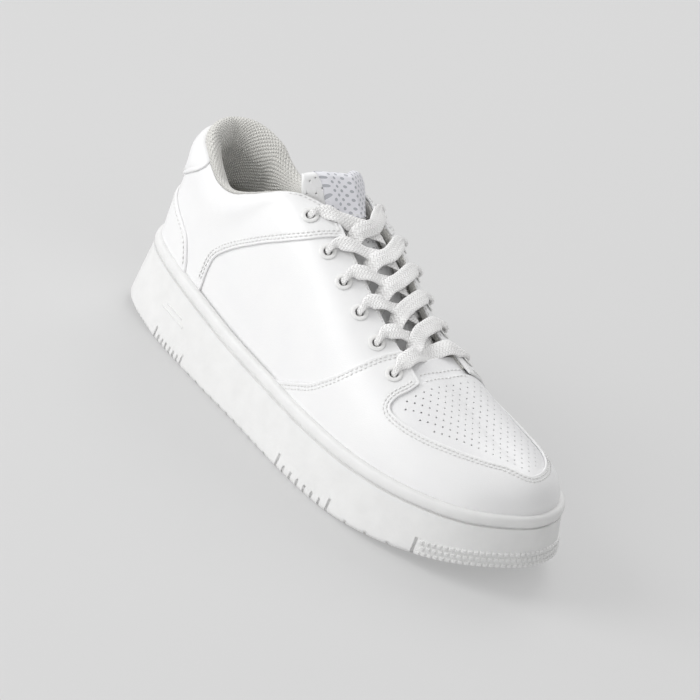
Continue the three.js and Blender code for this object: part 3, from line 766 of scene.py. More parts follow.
TIP = plain_look(
    "lace_tip_clear", "lace_tip",
    (0.78, 0.78, 0.77), (0.88, 0.88, 0.87), 0.2, 500, 0.00004, Coat_Weight=0.5)
SATIN = label_look()
BACKING = plain_look(
    "backing_white_cloth", "lining_mesh",
    (0.72, 0.72, 0.71), (0.8, 0.8, 0.79), 0.9, 1400, 0.0002)

# ---------------------------------------------------------------- leather panels

SEAM_STEP = 0.9
heel_side = spline(HEEL_SEAM, SEAM_STEP)
tab_side = spline(TAB_SEAM, SEAM_STEP)
collar_side = spline(COLLAR_SEAM, SEAM_STEP)
front_side = spline(FRONT_SEAM, SEAM_STEP)
around_toe = np.array([GIRTH, 0])
vamp_edge = spline(
    VAMP_SIDE + VAMP_TOE + (mirrored(VAMP_SIDE[:6])[::-1] + around_toe).tolist(), SEAM_STEP)
vamp_tip = np.array(VAMP_SIDE[0], float)


def run(*points):
    return resample(points, SEAM_STEP)


def rim_run(start, end):
    around = np.arange(start, end + 0.01, SEAM_STEP)
    around[-1] = end
    return np.stack([around, rim_line(np.abs(around))], 1)


def rounded(loop, reach=3):
    """The loop with its corners eased."""
    for _ in range(reach):
        loop = (np.roll(loop, 1, 0) + 2 * loop + np.roll(loop, -1, 0)) / 4
    return loop


def eyelet_holes(numbers, side):
    holes = []
    for i in numbers:
        centre = EYELETS[i] if side > 0 else mirrored([EYELETS[i]])[0]
        holes.append(circle(centre, EYELET_HOLE, 20))
    return holes


SIDES = {"lateral": 1, "medial": -1}


def on_side(points, side):
    return np.asarray(points) if side > 0 else mirrored(points)


quarter_loop = joined(
    offset_run(collar_side, 6.5)[::-1], run([74, -4], [145, -4]), offset_run(front_side, -6.5)[5:],
    run([216, 79.4], [137, 84.2]))
collar_loop = joined(
    offset_run(heel_side, -5)[:-6], run([61, -4], [80.5, -4]), collar_side[5:],
    run([140.5, 84], [121, 86]), rim_run(TAB_REACH - 3, 121)[::-1],
    offset_run(tab_side, 4)[::-1][6:])


def collar_shape(flat, away):
    """The padded collar swells below its rim and rolls in over it."""
    around = np.abs(flat[:, 0]) / np.where(flat[:, 0] < 0, INNER_SCALE, 1)
    padded = 1 - ease(around, 90, 112)
    below = (rim_line(around) - flat[:, 1]) * 0.85
    swell = 1.5 * np.exp(-(((below - 9) / 6) ** 2))
    curl = 4.2 - np.sqrt(np.maximum(4.2**2 - np.clip(4.2 - below, 0, 4.1) ** 2, 0))
    return padded * (swell - curl)


def lifted(height):
    return lambda flat, above: on_chart(flat, height + above)


stitch_parts = []
for side_name, side in SIDES.items():
    leather_sheet(
        f"quarter_{side_name}_leather", on_side(quarter_loop, side), on_chart, LEATHER,
        eyelet_holes(range(1, 5), side), lift=0.0)
    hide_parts(f"quarter_{side_name}")
    leather_sheet(
        f"collar_{side_name}_leather", on_side(rounded(collar_loop), side), on_chart, LEATHER,
        eyelet_holes([0], side), lift=OVERLAP, channels=(1.7, 3.3), shape=collar_shape)
    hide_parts(f"collar_overlay_{side_name}")

    for gap in (1.8, 3.5):
        seam_line = slid(collar_side, gap)[10:-2]
        stitch_parts += stitches(on_side(seam_line, side), lifted(OVERLAP))
        seam_line = slid(front_side, -gap)[9:-2]
        stitch_parts += stitches(on_side(seam_line, side), lifted(OVERLAP))
    stay_row = run([143, 82.0], [209, 77.8])
    stitch_parts += stitches(on_side(stay_row, side), lifted(0.0))
    top_row = run([104, 66], [109, 74], [121.5, 83.8], [138, 81.8])
    stitch_parts += stitches(on_side(top_row, side), lifted(OVERLAP))

toe_loop = joined(
    front_side[5:], run(front_side[-1], vamp_tip), vamp_edge,
    run(mirrored([VAMP_SIDE[0]])[0] + around_toe, mirrored(front_side[-1:])[0] + around_toe),
    (mirrored(front_side[5:])[::-1] + around_toe),
    run(mirrored([[140, -4]])[0] + around_toe, [140, -4]))
toe_holes = eyelet_holes([5], 1) + [hole + around_toe for hole in eyelet_holes([5], -1)]
toe_panel = leather_sheet(
    "toe_leather", rounded(toe_loop, 2), on_chart, LEATHER, toe_holes, lift=OVERLAP,
    channels=(1.7, 3.3))
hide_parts("toe_overlay")
for gap in (1.8, 3.5):
    row = slid(vamp_edge, -gap)[4:-4]
    stitch_parts += stitches(row, lifted(OVERLAP), 2.35)

heel_loop = joined(
    mirrored(heel_side[:-5])[::-1], heel_side[1:-5],
    run([65.8, -4], mirrored([[65.8, -4]])[0])[1:-1])
heel_piece = leather_sheet(
    "heel_leather", rounded(heel_loop, 2), on_chart, LEATHER, lift=2 * OVERLAP, roll=0.8,
    channels=(2.2,))
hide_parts("heel_panel")
tab_loop = joined(
    mirrored(tab_side[:-3])[::-1], tab_side[1:-3], run(tab_side[-3], rim_run(44, 45)[-1]),
    rim_run(-44 * INNER_SCALE, 44)[::-1])
tab_piece = leather_sheet(
    "heel_tab_leather", rounded(tab_loop, 2), on_chart, LEATHER, lift=2 * OVERLAP, roll=0.8,
    channels=(2.2,), shape=collar_shape)
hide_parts("heel_tab")
for side in (1, -1):
    stitch_parts += stitches(on_side(slid(heel_side, -2.3)[2:-9], side), lifted(2 * OVERLAP))
    stitch_parts += stitches(on_side(slid(tab_side, 2.3)[2:-8], side), lifted(2 * OVERLAP))

# ---------------------------------------------------------------- vamp and throat strip


def plan(points):
    return upper_face(points[:, 0], points[:, 1])[:, :2]


vamp_rim = plan(vamp_edge)
vamp_loop = anticlockwise(resample(np.vstack([vamp_rim, vamp_rim[:1]]), 1.0)[:-1])
vamp_loop = drawn_in(vamp_loop, -4.5)
vamp_loop = vamp_loop[vamp_loop[:, 0] > 57.5]
vamp_loop = resample(np.vstack([vamp_loop, vamp_loop[:1]]), 1.0)[:-1]
vamp_hole_area = drawn_in(
    anticlockwise(resample(np.vstack([vamp_rim, vamp_rim[:1]]), 1.5)[:-1]), 3.2)


def perforations():
    """Staggered rows of small holes, kept clear of the vamp's edges."""
    holes = []
    for row in range(40):
        for column in range(-12, 13):
            x = 64 + row * 2.9
            y = 5.0 * (column + row % 2 / 2) + 2 + 0.02 * (x - 60)
            holes.append([x, y])
    holes = np.array(holes)
    holes = holes[inside(holes, [vamp_hole_area])]
    return [circle(hole, 0.5, 8) for hole in holes[holes[:, 0] > 63]]


vamp = leather_sheet(
    "vamp_leather", vamp_loop, on_plan, TUMBLED, perforations(), step=2.1, thick=1.1, lift=-0.05)
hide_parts("toe_vamp")
leather_sheet(
    "vamp_backing_cloth", drawn_in(vamp_loop, 1.5), on_plan, BACKING, step=3.0, thick=0.5,
    lift=-1.25)

strip_loop = anticlockwise(joined(
    run([47, -19], [61, -22]), run([61, -22], [61, 25]), run([61, 25], [47, 22]),
    run([47, 22], [47, -19]))[:-1])
strip = leather_sheet(
    "throat_strip_leather", strip_loop, on_plan, TUMBLED, thick=1.0, lift=-1.3)
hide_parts("throat_strip")


def plan_lifted(height):
    return lambda flat, above: on_plan(flat, height + above)


for x, height in ((59.2, -0.05), (54.6, -1.3)):
    stitch_parts += stitches(run([x, -14], [x + 0.7, 17]), plan_lifted(height))
stitching = new_object("stitching_upper", *merged(stitch_parts), THREAD)

# ---------------------------------------------------------------- collar lining


def collar_pad(around, up):
    return 6.4 * ease(up, 12, 26) * (1 - ease(around, *PAD_END))


def opening_line(around):
    """How far up the edge of the shoe's opening is."""
    collar = rim_line(np.minimum(around, THROAT_TOP[0]))
    throat = np.interp(around, *zip(THROAT_TOP, THROAT_FOOT))
    return np.where(around < THROAT_TOP[0], collar, throat)


def make_lining():
    """Spacer mesh from throat to throat round the heel: tucked under the leather, padded over
    the rim and down to the footbed."""
    around = np.concatenate([
        np.arange(-LINING_FRONT, 0, 0.8) * INNER_SCALE, np.arange(0, LINING_FRONT, 0.8)])
    fair = np.abs(around) / np.where(around < 0, INNER_SCALE, 1)
    top = opening_line(fair) - np.where(fair > 110, 0.8, 0.0)
    inner = 3.4 + collar_pad(fair, top)
    padded = 1 - ease(fair, *PAD_END)
    profile = []
    for t in np.linspace(0, 1, 15):
        turn = np.pi * t
        depth = 1.0 - 0.9 * padded + (inner - 1.0 + 0.9 * padded) * (1 - np.cos(turn)) / 2
        inner_side = (1 + 0.5 * ease(fair, 0, 35)) * (1 - ease(fair, 50, 80))
        heel = np.where(around < 0, inner_side, 1 - ease(fair, 22, 60))
        rise = (0.6 + 1.4 * padded + 6.4 * heel) * np.sin(turn) ** 0.8 - 1.6 * (1 - t) * padded
        profile.append(upper_face(around, top, depth) + np.array([0, 0, 1]) * rise[:, None])
    outer_crease = 0.7 * np.exp(-(((around - 30) / 3.0) ** 2))
    crease = outer_crease + 0.6 * np.exp(-(((around + 52) / 3.5) ** 2))
    for t in np.linspace(0, 1, 52)[1:]:
        up = mix(top, -3.0, t)
        depth = 3.4 + collar_pad(fair, up) - crease * padded * np.sin(np.pi * t)
        profile.append(upper_face(around, up, depth))
    points = np.stack(profile, 1)
    rows, columns = points.shape[:2]
    normal = unit(np.cross(np.gradient(points, axis=0), np.gradient(points, axis=1)))
    back = points + normal * LINING_THICK
    down = lengths_along(points[rows // 2])
    uv = np.stack(np.meshgrid(around * 0.8, down, indexing="ij"), -1).reshape(-1, 2)
    flat_faces = grid_faces(rows, columns)
    count = rows * columns
    faces = flat_faces + [[a + count for a in f[::-1]] for f in flat_faces]
    faces += border_faces(rows, columns)
    return new_object(
        "collar_lining_padded", np.vstack([points.reshape(-1, 3), back.reshape(-1, 3)]), faces,
        LINING, uv=np.vstack([uv, uv]))


lining = make_lining()
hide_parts("quarter_lining", "collar_foam")

# ---------------------------------------------------------------- tongue

TONGUE_HALF = 3.2  # half its padded thickness


def tongue_depth(from_heel, up, below=6.0):
    x = foot_point(from_heel)[..., 0] * RIDGE_REACH
    line = opening_line(from_heel)
    return TONGUE_SUNK - tongue_rise(x) * ease(up, line - below, np.minimum(line + 10, 100))


def tongue_face(x, across):
    edge = mix(60, 70, ease(-x, 33, 48))
    up = 100 - np.abs(across) * (100 - edge)
    from_heel = around_at(x / RIDGE_REACH, True)
    around = np.where(across < 0, from_heel, around_at(x / RIDGE_REACH, False))
    return upper_face(around, up, tongue_depth(from_heel, up, np.where(across < 0, 6.0, -1.0)))


def tongue_middle(x, across):
    """The padded tongue's middle surface and its normal."""
    along = tongue_face(x + 1, across) - tongue_face(x - 1, across)
    over = tongue_face(x, across + 0.06) - tongue_face(x, across - 0.06)
    normal = unit(np.cross(along, over))
    return tongue_face(x, across) - normal * TONGUE_HALF, normal, unit(-along)


def round_off(distance, radius):
    """Sine and cosine of the turn of a rounded edge at a distance from the border."""
    turn = 1 - np.clip(distance / radius, 0, 1)
    return turn, np.sqrt(1 - turn**2)


def tongue_quilt(from_top):
    """The swell of the tongue's padding below its top edge."""
    return 0.35 * np.exp(-(((from_top - 9) / 5) ** 2))


def tongue_corner(across):
    """How far the tongue's top edge falls back towards its sides."""
    return 6.0 * ease(across, 0.2, 0.98) + 2.8 * ease(-across, 0.45, 0.95)


def tongue_grid(x, across):
    x, across = np.meshgrid(x, across, indexing="ij")
    across = across - 0.1 * ease(across, 0.3, 1) * (1 - ease(x, TONGUE_TOP + 12, TONGUE_TOP + 34))
    x = x + tongue_corner(across) * (1 - ease(x, TONGUE_TOP, TONGUE_TOP + 24))
    middle, normal, towards = tongue_middle(x, across)
    from_top = np.concatenate([np.zeros((1, x.shape[1])), np.cumsum(
        np.linalg.norm(np.diff(middle, axis=0), axis=2), axis=0)])
    from_side = np.concatenate([np.zeros((x.shape[0], 1)), np.cumsum(
        np.linalg.norm(np.diff(middle, axis=1), axis=2), axis=1)], 1)
    return x, middle, normal, towards, from_top, from_side


def make_tongue():
    rows = TONGUE_TOP + (TONGUE_FRONT - TONGUE_TOP) * np.linspace(0, 1, 130) ** 1.7
    across = np.sin(np.linspace(-1, 1, 70) * np.pi / 2)
    x, middle, normal, _, from_top, from_side = tongue_grid(rows, across)
    side = np.minimum(from_side, from_side[:, -1:] - from_side)
    half = TONGUE_HALF * round_off(from_top, TONGUE_HALF)[1] * round_off(side, TONGUE_HALF)[1]
    top = middle + normal * (half + tongue_quilt(from_top) * half / TONGUE_HALF)[..., None]
    bottom = middle - normal * half[..., None]
    count = x.size
    faces = grid_faces(*x.shape)
    faces = [f[::-1] for f in faces] + [[a + count for a in f] for f in faces]
    faces += border_faces(*x.shape, flipped=True)
    points = np.vstack([top.reshape(-1, 3), bottom.reshape(-1, 3)])
    uv = np.stack([x, from_side], -1).reshape(-1, 2)
    tongue = new_object("tongue_padded_leather", points, faces, LEATHER, "tongue", np.vstack([uv, uv]))
    merge = tongue.modifiers.new("merge", "WELD")
    merge.merge_threshold = 0.00001
    return tongue


def apply_modifiers(piece):
    depsgraph = bpy.context.evaluated_depsgraph_get()
    mesh = bpy.data.meshes.new_from_object(piece.evaluated_get(depsgraph))
    piece.modifiers.clear()
    piece.data = mesh


def cut_away(piece, cutter_points, cutter_faces):
    """Takes a closed cutting body out of a closed piece."""
    mesh = bpy.data.meshes.new("cutter")
    mesh.from_pydata((cutter_points * MM).tolist(), [], cutter_faces)
    cutter = bpy.data.objects.new("cutter", mesh)
    bpy.context.scene.collection.objects.link(cutter)
    cut = piece.modifiers.new("cut", "BOOLEAN")
    cut.operation = "DIFFERENCE"
    cut.solver = "MANIFOLD"
    cut.object = cutter
    bpy.context.view_layer.update()
    apply_modifiers(piece)
    bpy.data.objects.remove(cutter)
    bpy.data.meshes.remove(mesh)


def tongue_skin(x, across, grow, under=False):
    """Points at a height over the tongue's padded face, or over its underside."""
    _, middle, normal, towards, from_top, _ = tongue_grid(x, across)
    sine, cosine = round_off(from_top, TONGUE_HALF)
    way = -1.0 if under else 1.0
    out = normal * (way * cosine)[..., None] + towards * sine[..., None]
    height = grow + tongue_quilt(from_top) * (way > 0)
    skin = middle + normal * (way * TONGUE_HALF * cosine)[..., None]
    return skin + unit(out) * height[..., None]


def shell_from_grid(name, outer, inner, look, body, uv):
    """A closed thin body between two grids of points."""
    rows, columns = outer.shape[:2]
    count = rows * columns
    flat_faces = grid_faces(rows, columns)
    faces = flat_faces + [[a + count for a in f[::-1]] for f in flat_faces]
    faces += border_faces(rows, columns, flipped=True)
    points = np.vstack([outer.reshape(-1, 3), inner.reshape(-1, 3)])
    return new_object(name, points, faces, look, body, np.vstack([uv, uv]))


tongue = make_tongue()
apply_modifiers(tongue)


def peg(at, out, radius, depth, sides=10):
    """A round cutting pin across a surface."""
    side = unit(np.cross(out, [0.3, 0.9, 0.2]))
    other = np.cross(out, side)
    turn = np.arange(sides) * 2 * np.pi / sides
    ring = radius * (np.outer(np.cos(turn), side) + np.outer(np.sin(turn), other))
    points = np.vstack([at + ring - out * depth, at + ring + out * depth])
    faces = [[i, (i + 1) % sides, sides + (i + 1) % sides, sides + i] for i in range(sides)]
    return points, faces + [list(range(sides))[::-1], list(range(sides, 2 * sides))]


def tongue_pegs():
    parts = []
    for row, x in enumerate(np.arange(-47.6, -20, 3.0)):
        shift = 0.055 * (row % 2)
        for across in np.arange(-0.92, 0.93, 0.11) + shift:
            if abs(across) > 0.93:
                continue
            place = np.array([[x + tongue_corner(across)]])
            at, out, _ = tongue_middle(place, np.array([[across]]))
            parts.append(peg(at[0, 0] + out[0, 0] * TONGUE_HALF, out[0, 0], 0.5, 1.1))
    return merged(parts)


cut_away(tongue, *tongue_pegs())
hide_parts("tongue_shell", "tongue_foam")

LABEL_SIDES = (-0.42, 0.43)
label_path = np.concatenate([
    np.linspace(-34.5, -48, 40), np.linspace(-48, TONGUE_TOP + 0.001, 30)[1:],
])
back_path = np.concatenate([np.linspace(TONGUE_TOP, -48, 30), np.linspace(-48, -44.5, 12)[1:]])


def make_label():
    """Satin folded over the tongue's top, with its hem stitched down on the face."""
    across = np.linspace(*LABEL_SIDES, 60)
    layers = []
    for grow in (0.55, 0.08):
        front = tongue_skin(label_path[::-1], across, grow)[::-1]
        back = tongue_skin(back_path, across, grow, under=True)
        layers.append(np.concatenate([front, back[1:]]))
    down = lengths_along(layers[0][:, 30])
    over = lengths_along(layers[0][5])
    uv = np.stack(np.meshgrid(down, over, indexing="ij"), -1).reshape(-1, 2)
    outer, inner = (layer[:, ::-1] for layer in layers)
    return shell_from_grid("tongue_label_satin", outer, inner, SATIN, "tongue", uv)


label = make_label()
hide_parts("tongue_label")


def label_stitches():
    across = np.linspace(LABEL_SIDES[0] + 0.04, LABEL_SIDES[1] - 0.04, 120)
    path = np.linspace(TONGUE_TOP, -35.6, 40)
    low = tongue_skin(path, across, 0.5)[-1]
    high = tongue_skin(path, across, 1.5)[-1]

    def place(flat, above):
        at = flat[:, 0]
        pick = [np.interp(at, np.arange(120), (low + (high - low) * above)[:, k]) for k in range(3)]
        return np.stack(pick, 1)

    return stitches(np.stack([np.linspace(0, 119, 200), np.zeros(200)], 1), place, 2.6, 1.7, 0.24)


new_object("stitching_label", *merged(label_stitches()), THREAD, "tongue")


def make_tongue_lining():
    rows = TONGUE_TOP + 2 + (TONGUE_FRONT - 3 - TONGUE_TOP) * np.linspace(0, 1, 110) ** 1.3
    across = np.linspace(-0.9, 0.9, 60)
    layers = []
    for down in (TONGUE_HALF - 0.5, TONGUE_HALF + 0.45):
        x, middle, normal, _, from_top, from_side = tongue_grid(rows, across)
        layers.append(middle - normal * down)
    uv = np.stack([x, from_side], -1).reshape(-1, 2)
    return shell_from_grid("tongue_lining_knit", *layers, LINING, "tongue", uv)


tongue_lining = make_tongue_lining()
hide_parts("tongue_lining")

# ---------------------------------------------------------------- lace


def eyelet_frame(eyelet):
    spot = np.array([eyelet], float)
    out = upper_normal(spot[:, 0], spot[:, 1])[0]
    towards = unit(upper_face(spot[:, 0], spot[:, 1] + 1) - upper_face(spot[:, 0], spot[:, 1] - 1))[0]
    return upper_face(spot[:, 0], spot[:, 1])[0], out, towards


def at_chart(around, up, depth):
    return upper_face(np.array([around]), np.array([up]), np.array([float(depth)]))[0]


def through_eyelet(side, i):
    eyelet = EYELETS[i] if side > 0 else mirrored([EYELETS[i]])[0]
    at, out, towards = eyelet_frame(eyelet)
    steps = [[1.9, -6.6], [0, -4.5], [0, -1.4], [0, 1.1], [1.7, 2.9]]
    inner = at_chart(eyelet[0], (eyelet[1] + 84) / 2, 6.7)
    outer = at_chart(eyelet[0], (eyelet[1] + 84) / 2, -2.3)
    return [inner, *[at + towards * m + out * h for m, h in steps], outer]


def cross_throat(side, start, end, steps, above):
    points = []
    for share, up, depth in steps:
        from_heel = mix(start, end, share)
        own = side if share < 0.5 else -side
        around = from_heel if own > 0 else -from_heel * INNER_SCALE
        if up >= 90:
            depth = min(depth, float(tongue_depth(np.array(from_heel), np.array(up))) - above)
        points.append(at_chart(around, up, depth))
    return points


# A crossing's places: share of the way to the next eyelet, per cent up, depth below the face.
OVER = [[0.15, 83, 6.5], [0.32, 92, -0.5], [0.501, 99.5, -1.3], [0.68, 92, -1.9], [0.85, 84, -2.2]]
UNDER = [[0.15, 83, 6.5], [0.32, 92, 3.2], [0.501, 99.5, 1.6], [0.68, 92, 1.25], [0.85, 84, -2.2]]
TUCKED = [[123, 65.5, 7.6], [126, 58, 7.4], [130, 51, 8.2], [132, 45, 9.5]]


def half_lace(side, high):
    """Half of the lace, from the bar over the lowest eyelets to one tucked end."""
    route = through_eyelet(side, 5)[::-1]
    for i in range(4, -1, -1):
        over = (i % 2 == 0) == high
        above = 3.2 if over else 1.4
        route += cross_throat(side, EYELETS[i + 1][0], EYELETS[i][0], OVER if over else UNDER, above)
        side = -side
        route += through_eyelet(side, i)[::-1]
    scale = 1 if side > 0 else -INNER_SCALE
    return route[:-2] + [at_chart(around * scale, up, depth) for around, up, depth in TUCKED]


def bar_point(side, up):
    around = EYELETS[5][0] if side > 0 else -EYELETS[5][0] * INNER_SCALE
    return at_chart(around, up, -2.3)


def bar_middle():
    return at_chart(EYELETS[5][0], 99.5, 2.4)


def centripetal(points, spacing):
    """A centripetal Catmull-Rom curve through the points, evenly spaced."""
    p = np.array(points)
    p = np.vstack([2 * p[0] - p[1], p, 2 * p[-1] - p[-2]])
    t = (np.arange(48) / 48)[:, None]
    parts = []
    for i in range(1, len(p) - 2):
        p0, p1, p2, p3 = p[i - 1], p[i], p[i + 1], p[i + 2]
        d0, d1, d2 = (np.linalg.norm(b - a) ** 0.5 for a, b in ((p0, p1), (p1, p2), (p2, p3)))
        m1 = ((p1 - p0) / d0 - (p2 - p0) / (d0 + d1) + (p2 - p1) / d1) * d1
        m2 = ((p2 - p1) / d1 - (p3 - p1) / (d1 + d2) + (p3 - p2) / d2) * d1
        square, cube = -3 * p1 + 3 * p2 - 2 * m1 - m2, 2 * p1 - 2 * p2 + m1 + m2
        parts.append(p1 + m1 * t + square * t**2 + cube * t**3)
    parts.append(p[-2:-1])
    return resample(np.vstack(parts), spacing)


lace_points = (
    half_lace(1, True)[::-1] + [bar_point(1, 84), bar_middle(), bar_point(-1, 84)]
    + half_lace(-1, False))
lace_line = centripetal(lace_points, 0.38)


def row_direction(points):
    steep = ease(-points[:, 0], 12, 26) * (1 - ease(np.abs(points[:, 1]), 4, 11))
    zero = np.zeros(len(points))
    return unit(np.stack([zero + 1, zero, mix(-0.43, -1, steep)], 1))


def braid(along, across):
    """Height of the flat braid: columns of slanting cells."""
    column = (across / LACE_WIDTH + 0.5) * BRAID_COLUMNS
    place = column % 1
    slant = np.where(column.astype(int) % 2 == 0, place, 1 - place)
    cell = np.abs(np.sin(np.pi * (along / BRAID_PITCH + slant * BRAID_SLANT))) ** 0.8
    return 0.3 * cell * np.sin(np.pi * place) ** 0.6 - 0.1


def make_lace():
    along = unit(np.gradient(lace_line, axis=0))
    row = row_direction(lace_line)
    wide = unit(row - along * (row * along).sum(1)[:, None])
    thick = np.cross(along, wide)
    travelled = lengths_along(lace_line)
    centres = np.array([
        eyelet_frame(e)[0] for e in EYELETS + [list(mirrored([e])[0]) for e in EYELETS]])
    nearest = np.linalg.norm(lace_line[:, None] - centres, axis=2).min(1)
    to_end = np.minimum(travelled, travelled[-1] - travelled)
    spread = np.minimum(ease(nearest, 3.5, 9), ease(to_end, 0, 12))
    width = mix(LACE_IN_HOLE[0], LACE_WIDTH, spread)
    depth = mix(LACE_IN_HOLE[1], LACE_THICK, spread)
    sides = 40
    turn = (np.arange(sides) + 0.5) * 2 * np.pi / sides
    cosine = np.sign(np.cos(turn)) * np.abs(np.cos(turn)) ** 0.75
    sine = np.sign(np.sin(turn)) * np.abs(np.sin(turn)) ** 0.75
    relief = braid(travelled[:, None], cosine * LACE_WIDTH / 2 * 0.999) * np.abs(sine)
    ripple = 0.12 * np.sin(travelled / 7.3)[:, None] * np.cos(cosine * 4)
    points = (
        lace_line[:, None] + wide[:, None] * (width[:, None] / 2 * cosine)[..., None]
        + thick[:, None] * ((depth[:, None] / 2 + relief) * sine + ripple * spread[:, None])[..., None]
    )
    rings = len(lace_line)
    faces = [f[::-1] for f in grid_faces(rings, sides, True)]
    faces += [list(range(sides)), list(range((rings - 1) * sides, rings * sides))[::-1]]
    uv = np.stack([
        np.repeat(travelled, sides), np.tile(cosine * LACE_WIDTH / 2, rings)], 1)
    return new_object("lace_braided", points.reshape(-1, 3), faces, COTTON, uv=uv)


TIP_PROFILE = [  # distance from the lace's end, radius
    [0.3, 1.1], [0.35, 1.5], [1.5, 1.55], [2.2, 1.45], [12.5, 1.4], [13.8, 1.3], [14.3, 0.8],
]


def make_tip(name, end, before):
    """A hard tip past one end of the lace, slightly waisted."""
    along = unit(end - before)
    side = unit(np.cross(along, [0.1, 0.3, 1]))
    other = np.cross(along, side)
    turn = np.arange(20) * 2 * np.pi / 20
    ring = np.outer(np.cos(turn), side) + np.outer(np.sin(turn), other)
    points = []
    for at, radius in TIP_PROFILE:
        points.append(end + along * at + ring * radius)
    faces = [f[::-1] for f in grid_faces(7, 20, True)] + [list(range(20)), list(range(120, 140))[::-1]]
    return new_object(name, np.vstack(points), faces, TIP)


lace = make_lace()
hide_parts("lace")
tips = [
    make_tip("lace_tip_first", lace_line[0], lace_line[4]),
    make_tip("lace_tip_second", lace_line[-1], lace_line[-5]),
]
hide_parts("lace_tip_1")
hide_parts("lace_tip_2")
lace_length = float(lengths_along(lace_line)[-1]) * MM

# ---------------------------------------------------------------- eyelets

RING_PROFILE = [
    [2.3, -2.6], [2.9, -2.6], [2.95, 0.0], [4.3, 0.08], [4.5, 0.2], [4.55, 0.4], [4.3, 0.62],
    [3.7, 0.8], [3.0, 0.84], [2.55, 0.7], [2.35, 0.4],
]


def make_rings(side_name, side):
    parts = []
    profile = np.array(RING_PROFILE)
    for i, eyelet in enumerate(EYELETS):
        at, out, towards = eyelet_frame(eyelet if side > 0 else mirrored([eyelet])[0])
        other = np.cross(out, towards)
        lift = OVERLAP if i in (0, 5) else 0.0
        turn = np.arange(48) * 2 * np.pi / 48
        ring = np.outer(np.cos(turn), towards) + np.outer(np.sin(turn), other)
        points = (
            at + out * (lift + 0.02) + profile[:, None, :1] * ring + (profile[:, 1:] * out)[:, None]
        )
        count = len(profile)
        faces = []
        for a in range(count):
            b = (a + 1) % count
            for k in range(48):
                m = (k + 1) % 48
                faces.append([a * 48 + k, a * 48 + m, b * 48 + m, b * 48 + k])
        parts.append((points.reshape(-1, 3), faces))
    rings = new_object(f"eyelet_rings_{side_name}", *merged(parts), ENAMEL)
    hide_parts(*[f"eyelet_{side_name}_{i + 1}" for i in range(6)])


for side_name, side in SIDES.items():
    make_rings(side_name, side)

# ---------------------------------------------------------------- sole

WALL_LEAN = 3.4
SOLE_EDGE = 2.4  # radius of the rounded lower edge
GROOVE_DROP = 7.2


BAND_PROFILE = [  # inset from the outline, distance below the lip
    [3.9, 7.1], [4.7, 6.95], [4.9, 6.6], [4.7, 6.3], [3.9, 6.1], [3.4, 5.75], [3.2, 5.2],
    [3.1, 4.4], [3.1, 3.5], [3.2, 2.6], [3.4, 1.8], [3.75, 1.0], [4.3, 0.4], [5.1, 0.08],
    [5.9, 0.0], [6.7, 0.0], [7.15, 0.25], [CUP_INSET, 0.8], [CUP_INSET, 4], [CUP_INSET, 10],
]


def middle_line(around, height):
    x = foot_point(around)[:, 0] * RIDGE_REACH
    return np.stack([x, ridge_side(x), height(x)], 1)


def inset_point(around, inset, height):
    flat = foot_point(around) + inward(around) * inset
    return np.column_stack([flat, height(flat[:, 0])])


def sole_section(around):
    """The cup's section, from the middle of its underside round its wall to its floor."""
    bottom = lambda above: (lambda x: sole_bottom(x) + above)
    lip = lambda below: (lambda x: lip_height(x) - below)
    points = [middle_line(around, bottom(0))]
    points += [inset_point(around, inset, bottom(0)) for inset in (28, 20, 12, 7, 3.2)]
    for turn in np.linspace(0.15, 1, 6) * np.pi / 2:
        inset, above = SOLE_EDGE * (1 - math.sin(turn)), SOLE_EDGE * (1 - math.cos(turn))
        points.append(inset_point(around, inset, bottom(above)))
    low, high = points[-1], inset_point(around, WALL_LEAN, lip(GROOVE_DROP))
    for t in np.linspace(0, 1, 14)[1:]:
        points.append(mix(low, high, t))
    for inset, below in BAND_PROFILE:
        points.append(inset_point(around, inset, lip(below)))
    points.append(inset_point(around, CUP_INSET, bottom(CUP_FLOOR)))
    points.append(inset_point(around, 20, bottom(CUP_FLOOR)))
    points.append(middle_line(around, bottom(CUP_FLOOR)))
    return np.stack(points, 1)


def wall_frame(around, above):
    """A place on the side wall at a height over the ground line: point, along, out."""
    at = np.array([around])
    foot = foot_point(at)[0]
    bottom, top = sole_bottom(foot[0]), lip_height(foot[0]) - GROOVE_DROP
    share = np.clip((above - SOLE_EDGE) / (top - bottom - SOLE_EDGE), 0, 1)
    curve = SOLE_EDGE - math.sqrt(max(SOLE_EDGE**2 - max(SOLE_EDGE - above, 0) ** 2, 0))
    inner = inward(at)[0]
    flat = foot + inner * (WALL_LEAN * share + curve)
    along = np.array([inner[1], -inner[0], 0.0])
    return np.array([*flat, bottom + above]), along, np.array([-inner[0], -inner[1], 0.0])


def block(at, along, out, width, depth, low, high):
    """A box across the wall: width along it, and depth in and out of it."""
    points = []
    for z in (low, high):
        for a, b in ((-1, -1), (1, -1), (1, 1), (-1, 1)):
            points.append([at[0], at[1], z] + along * a * width / 2 + out * b * depth)
    faces = [[3, 2, 1, 0], [4, 5, 6, 7], [0, 1, 5, 4], [1, 2, 6, 5], [2, 3, 7, 6], [3, 0, 4, 7]]
    return np.array(points), faces


def wall_cut(around, width, low, high, depth=0.9):
    at, along, out = wall_frame(around, (low + high) / 2)
    bottom = float(sole_bottom(at[0]))
    return block(at, along, out, width, depth, bottom + low, bottom + high)


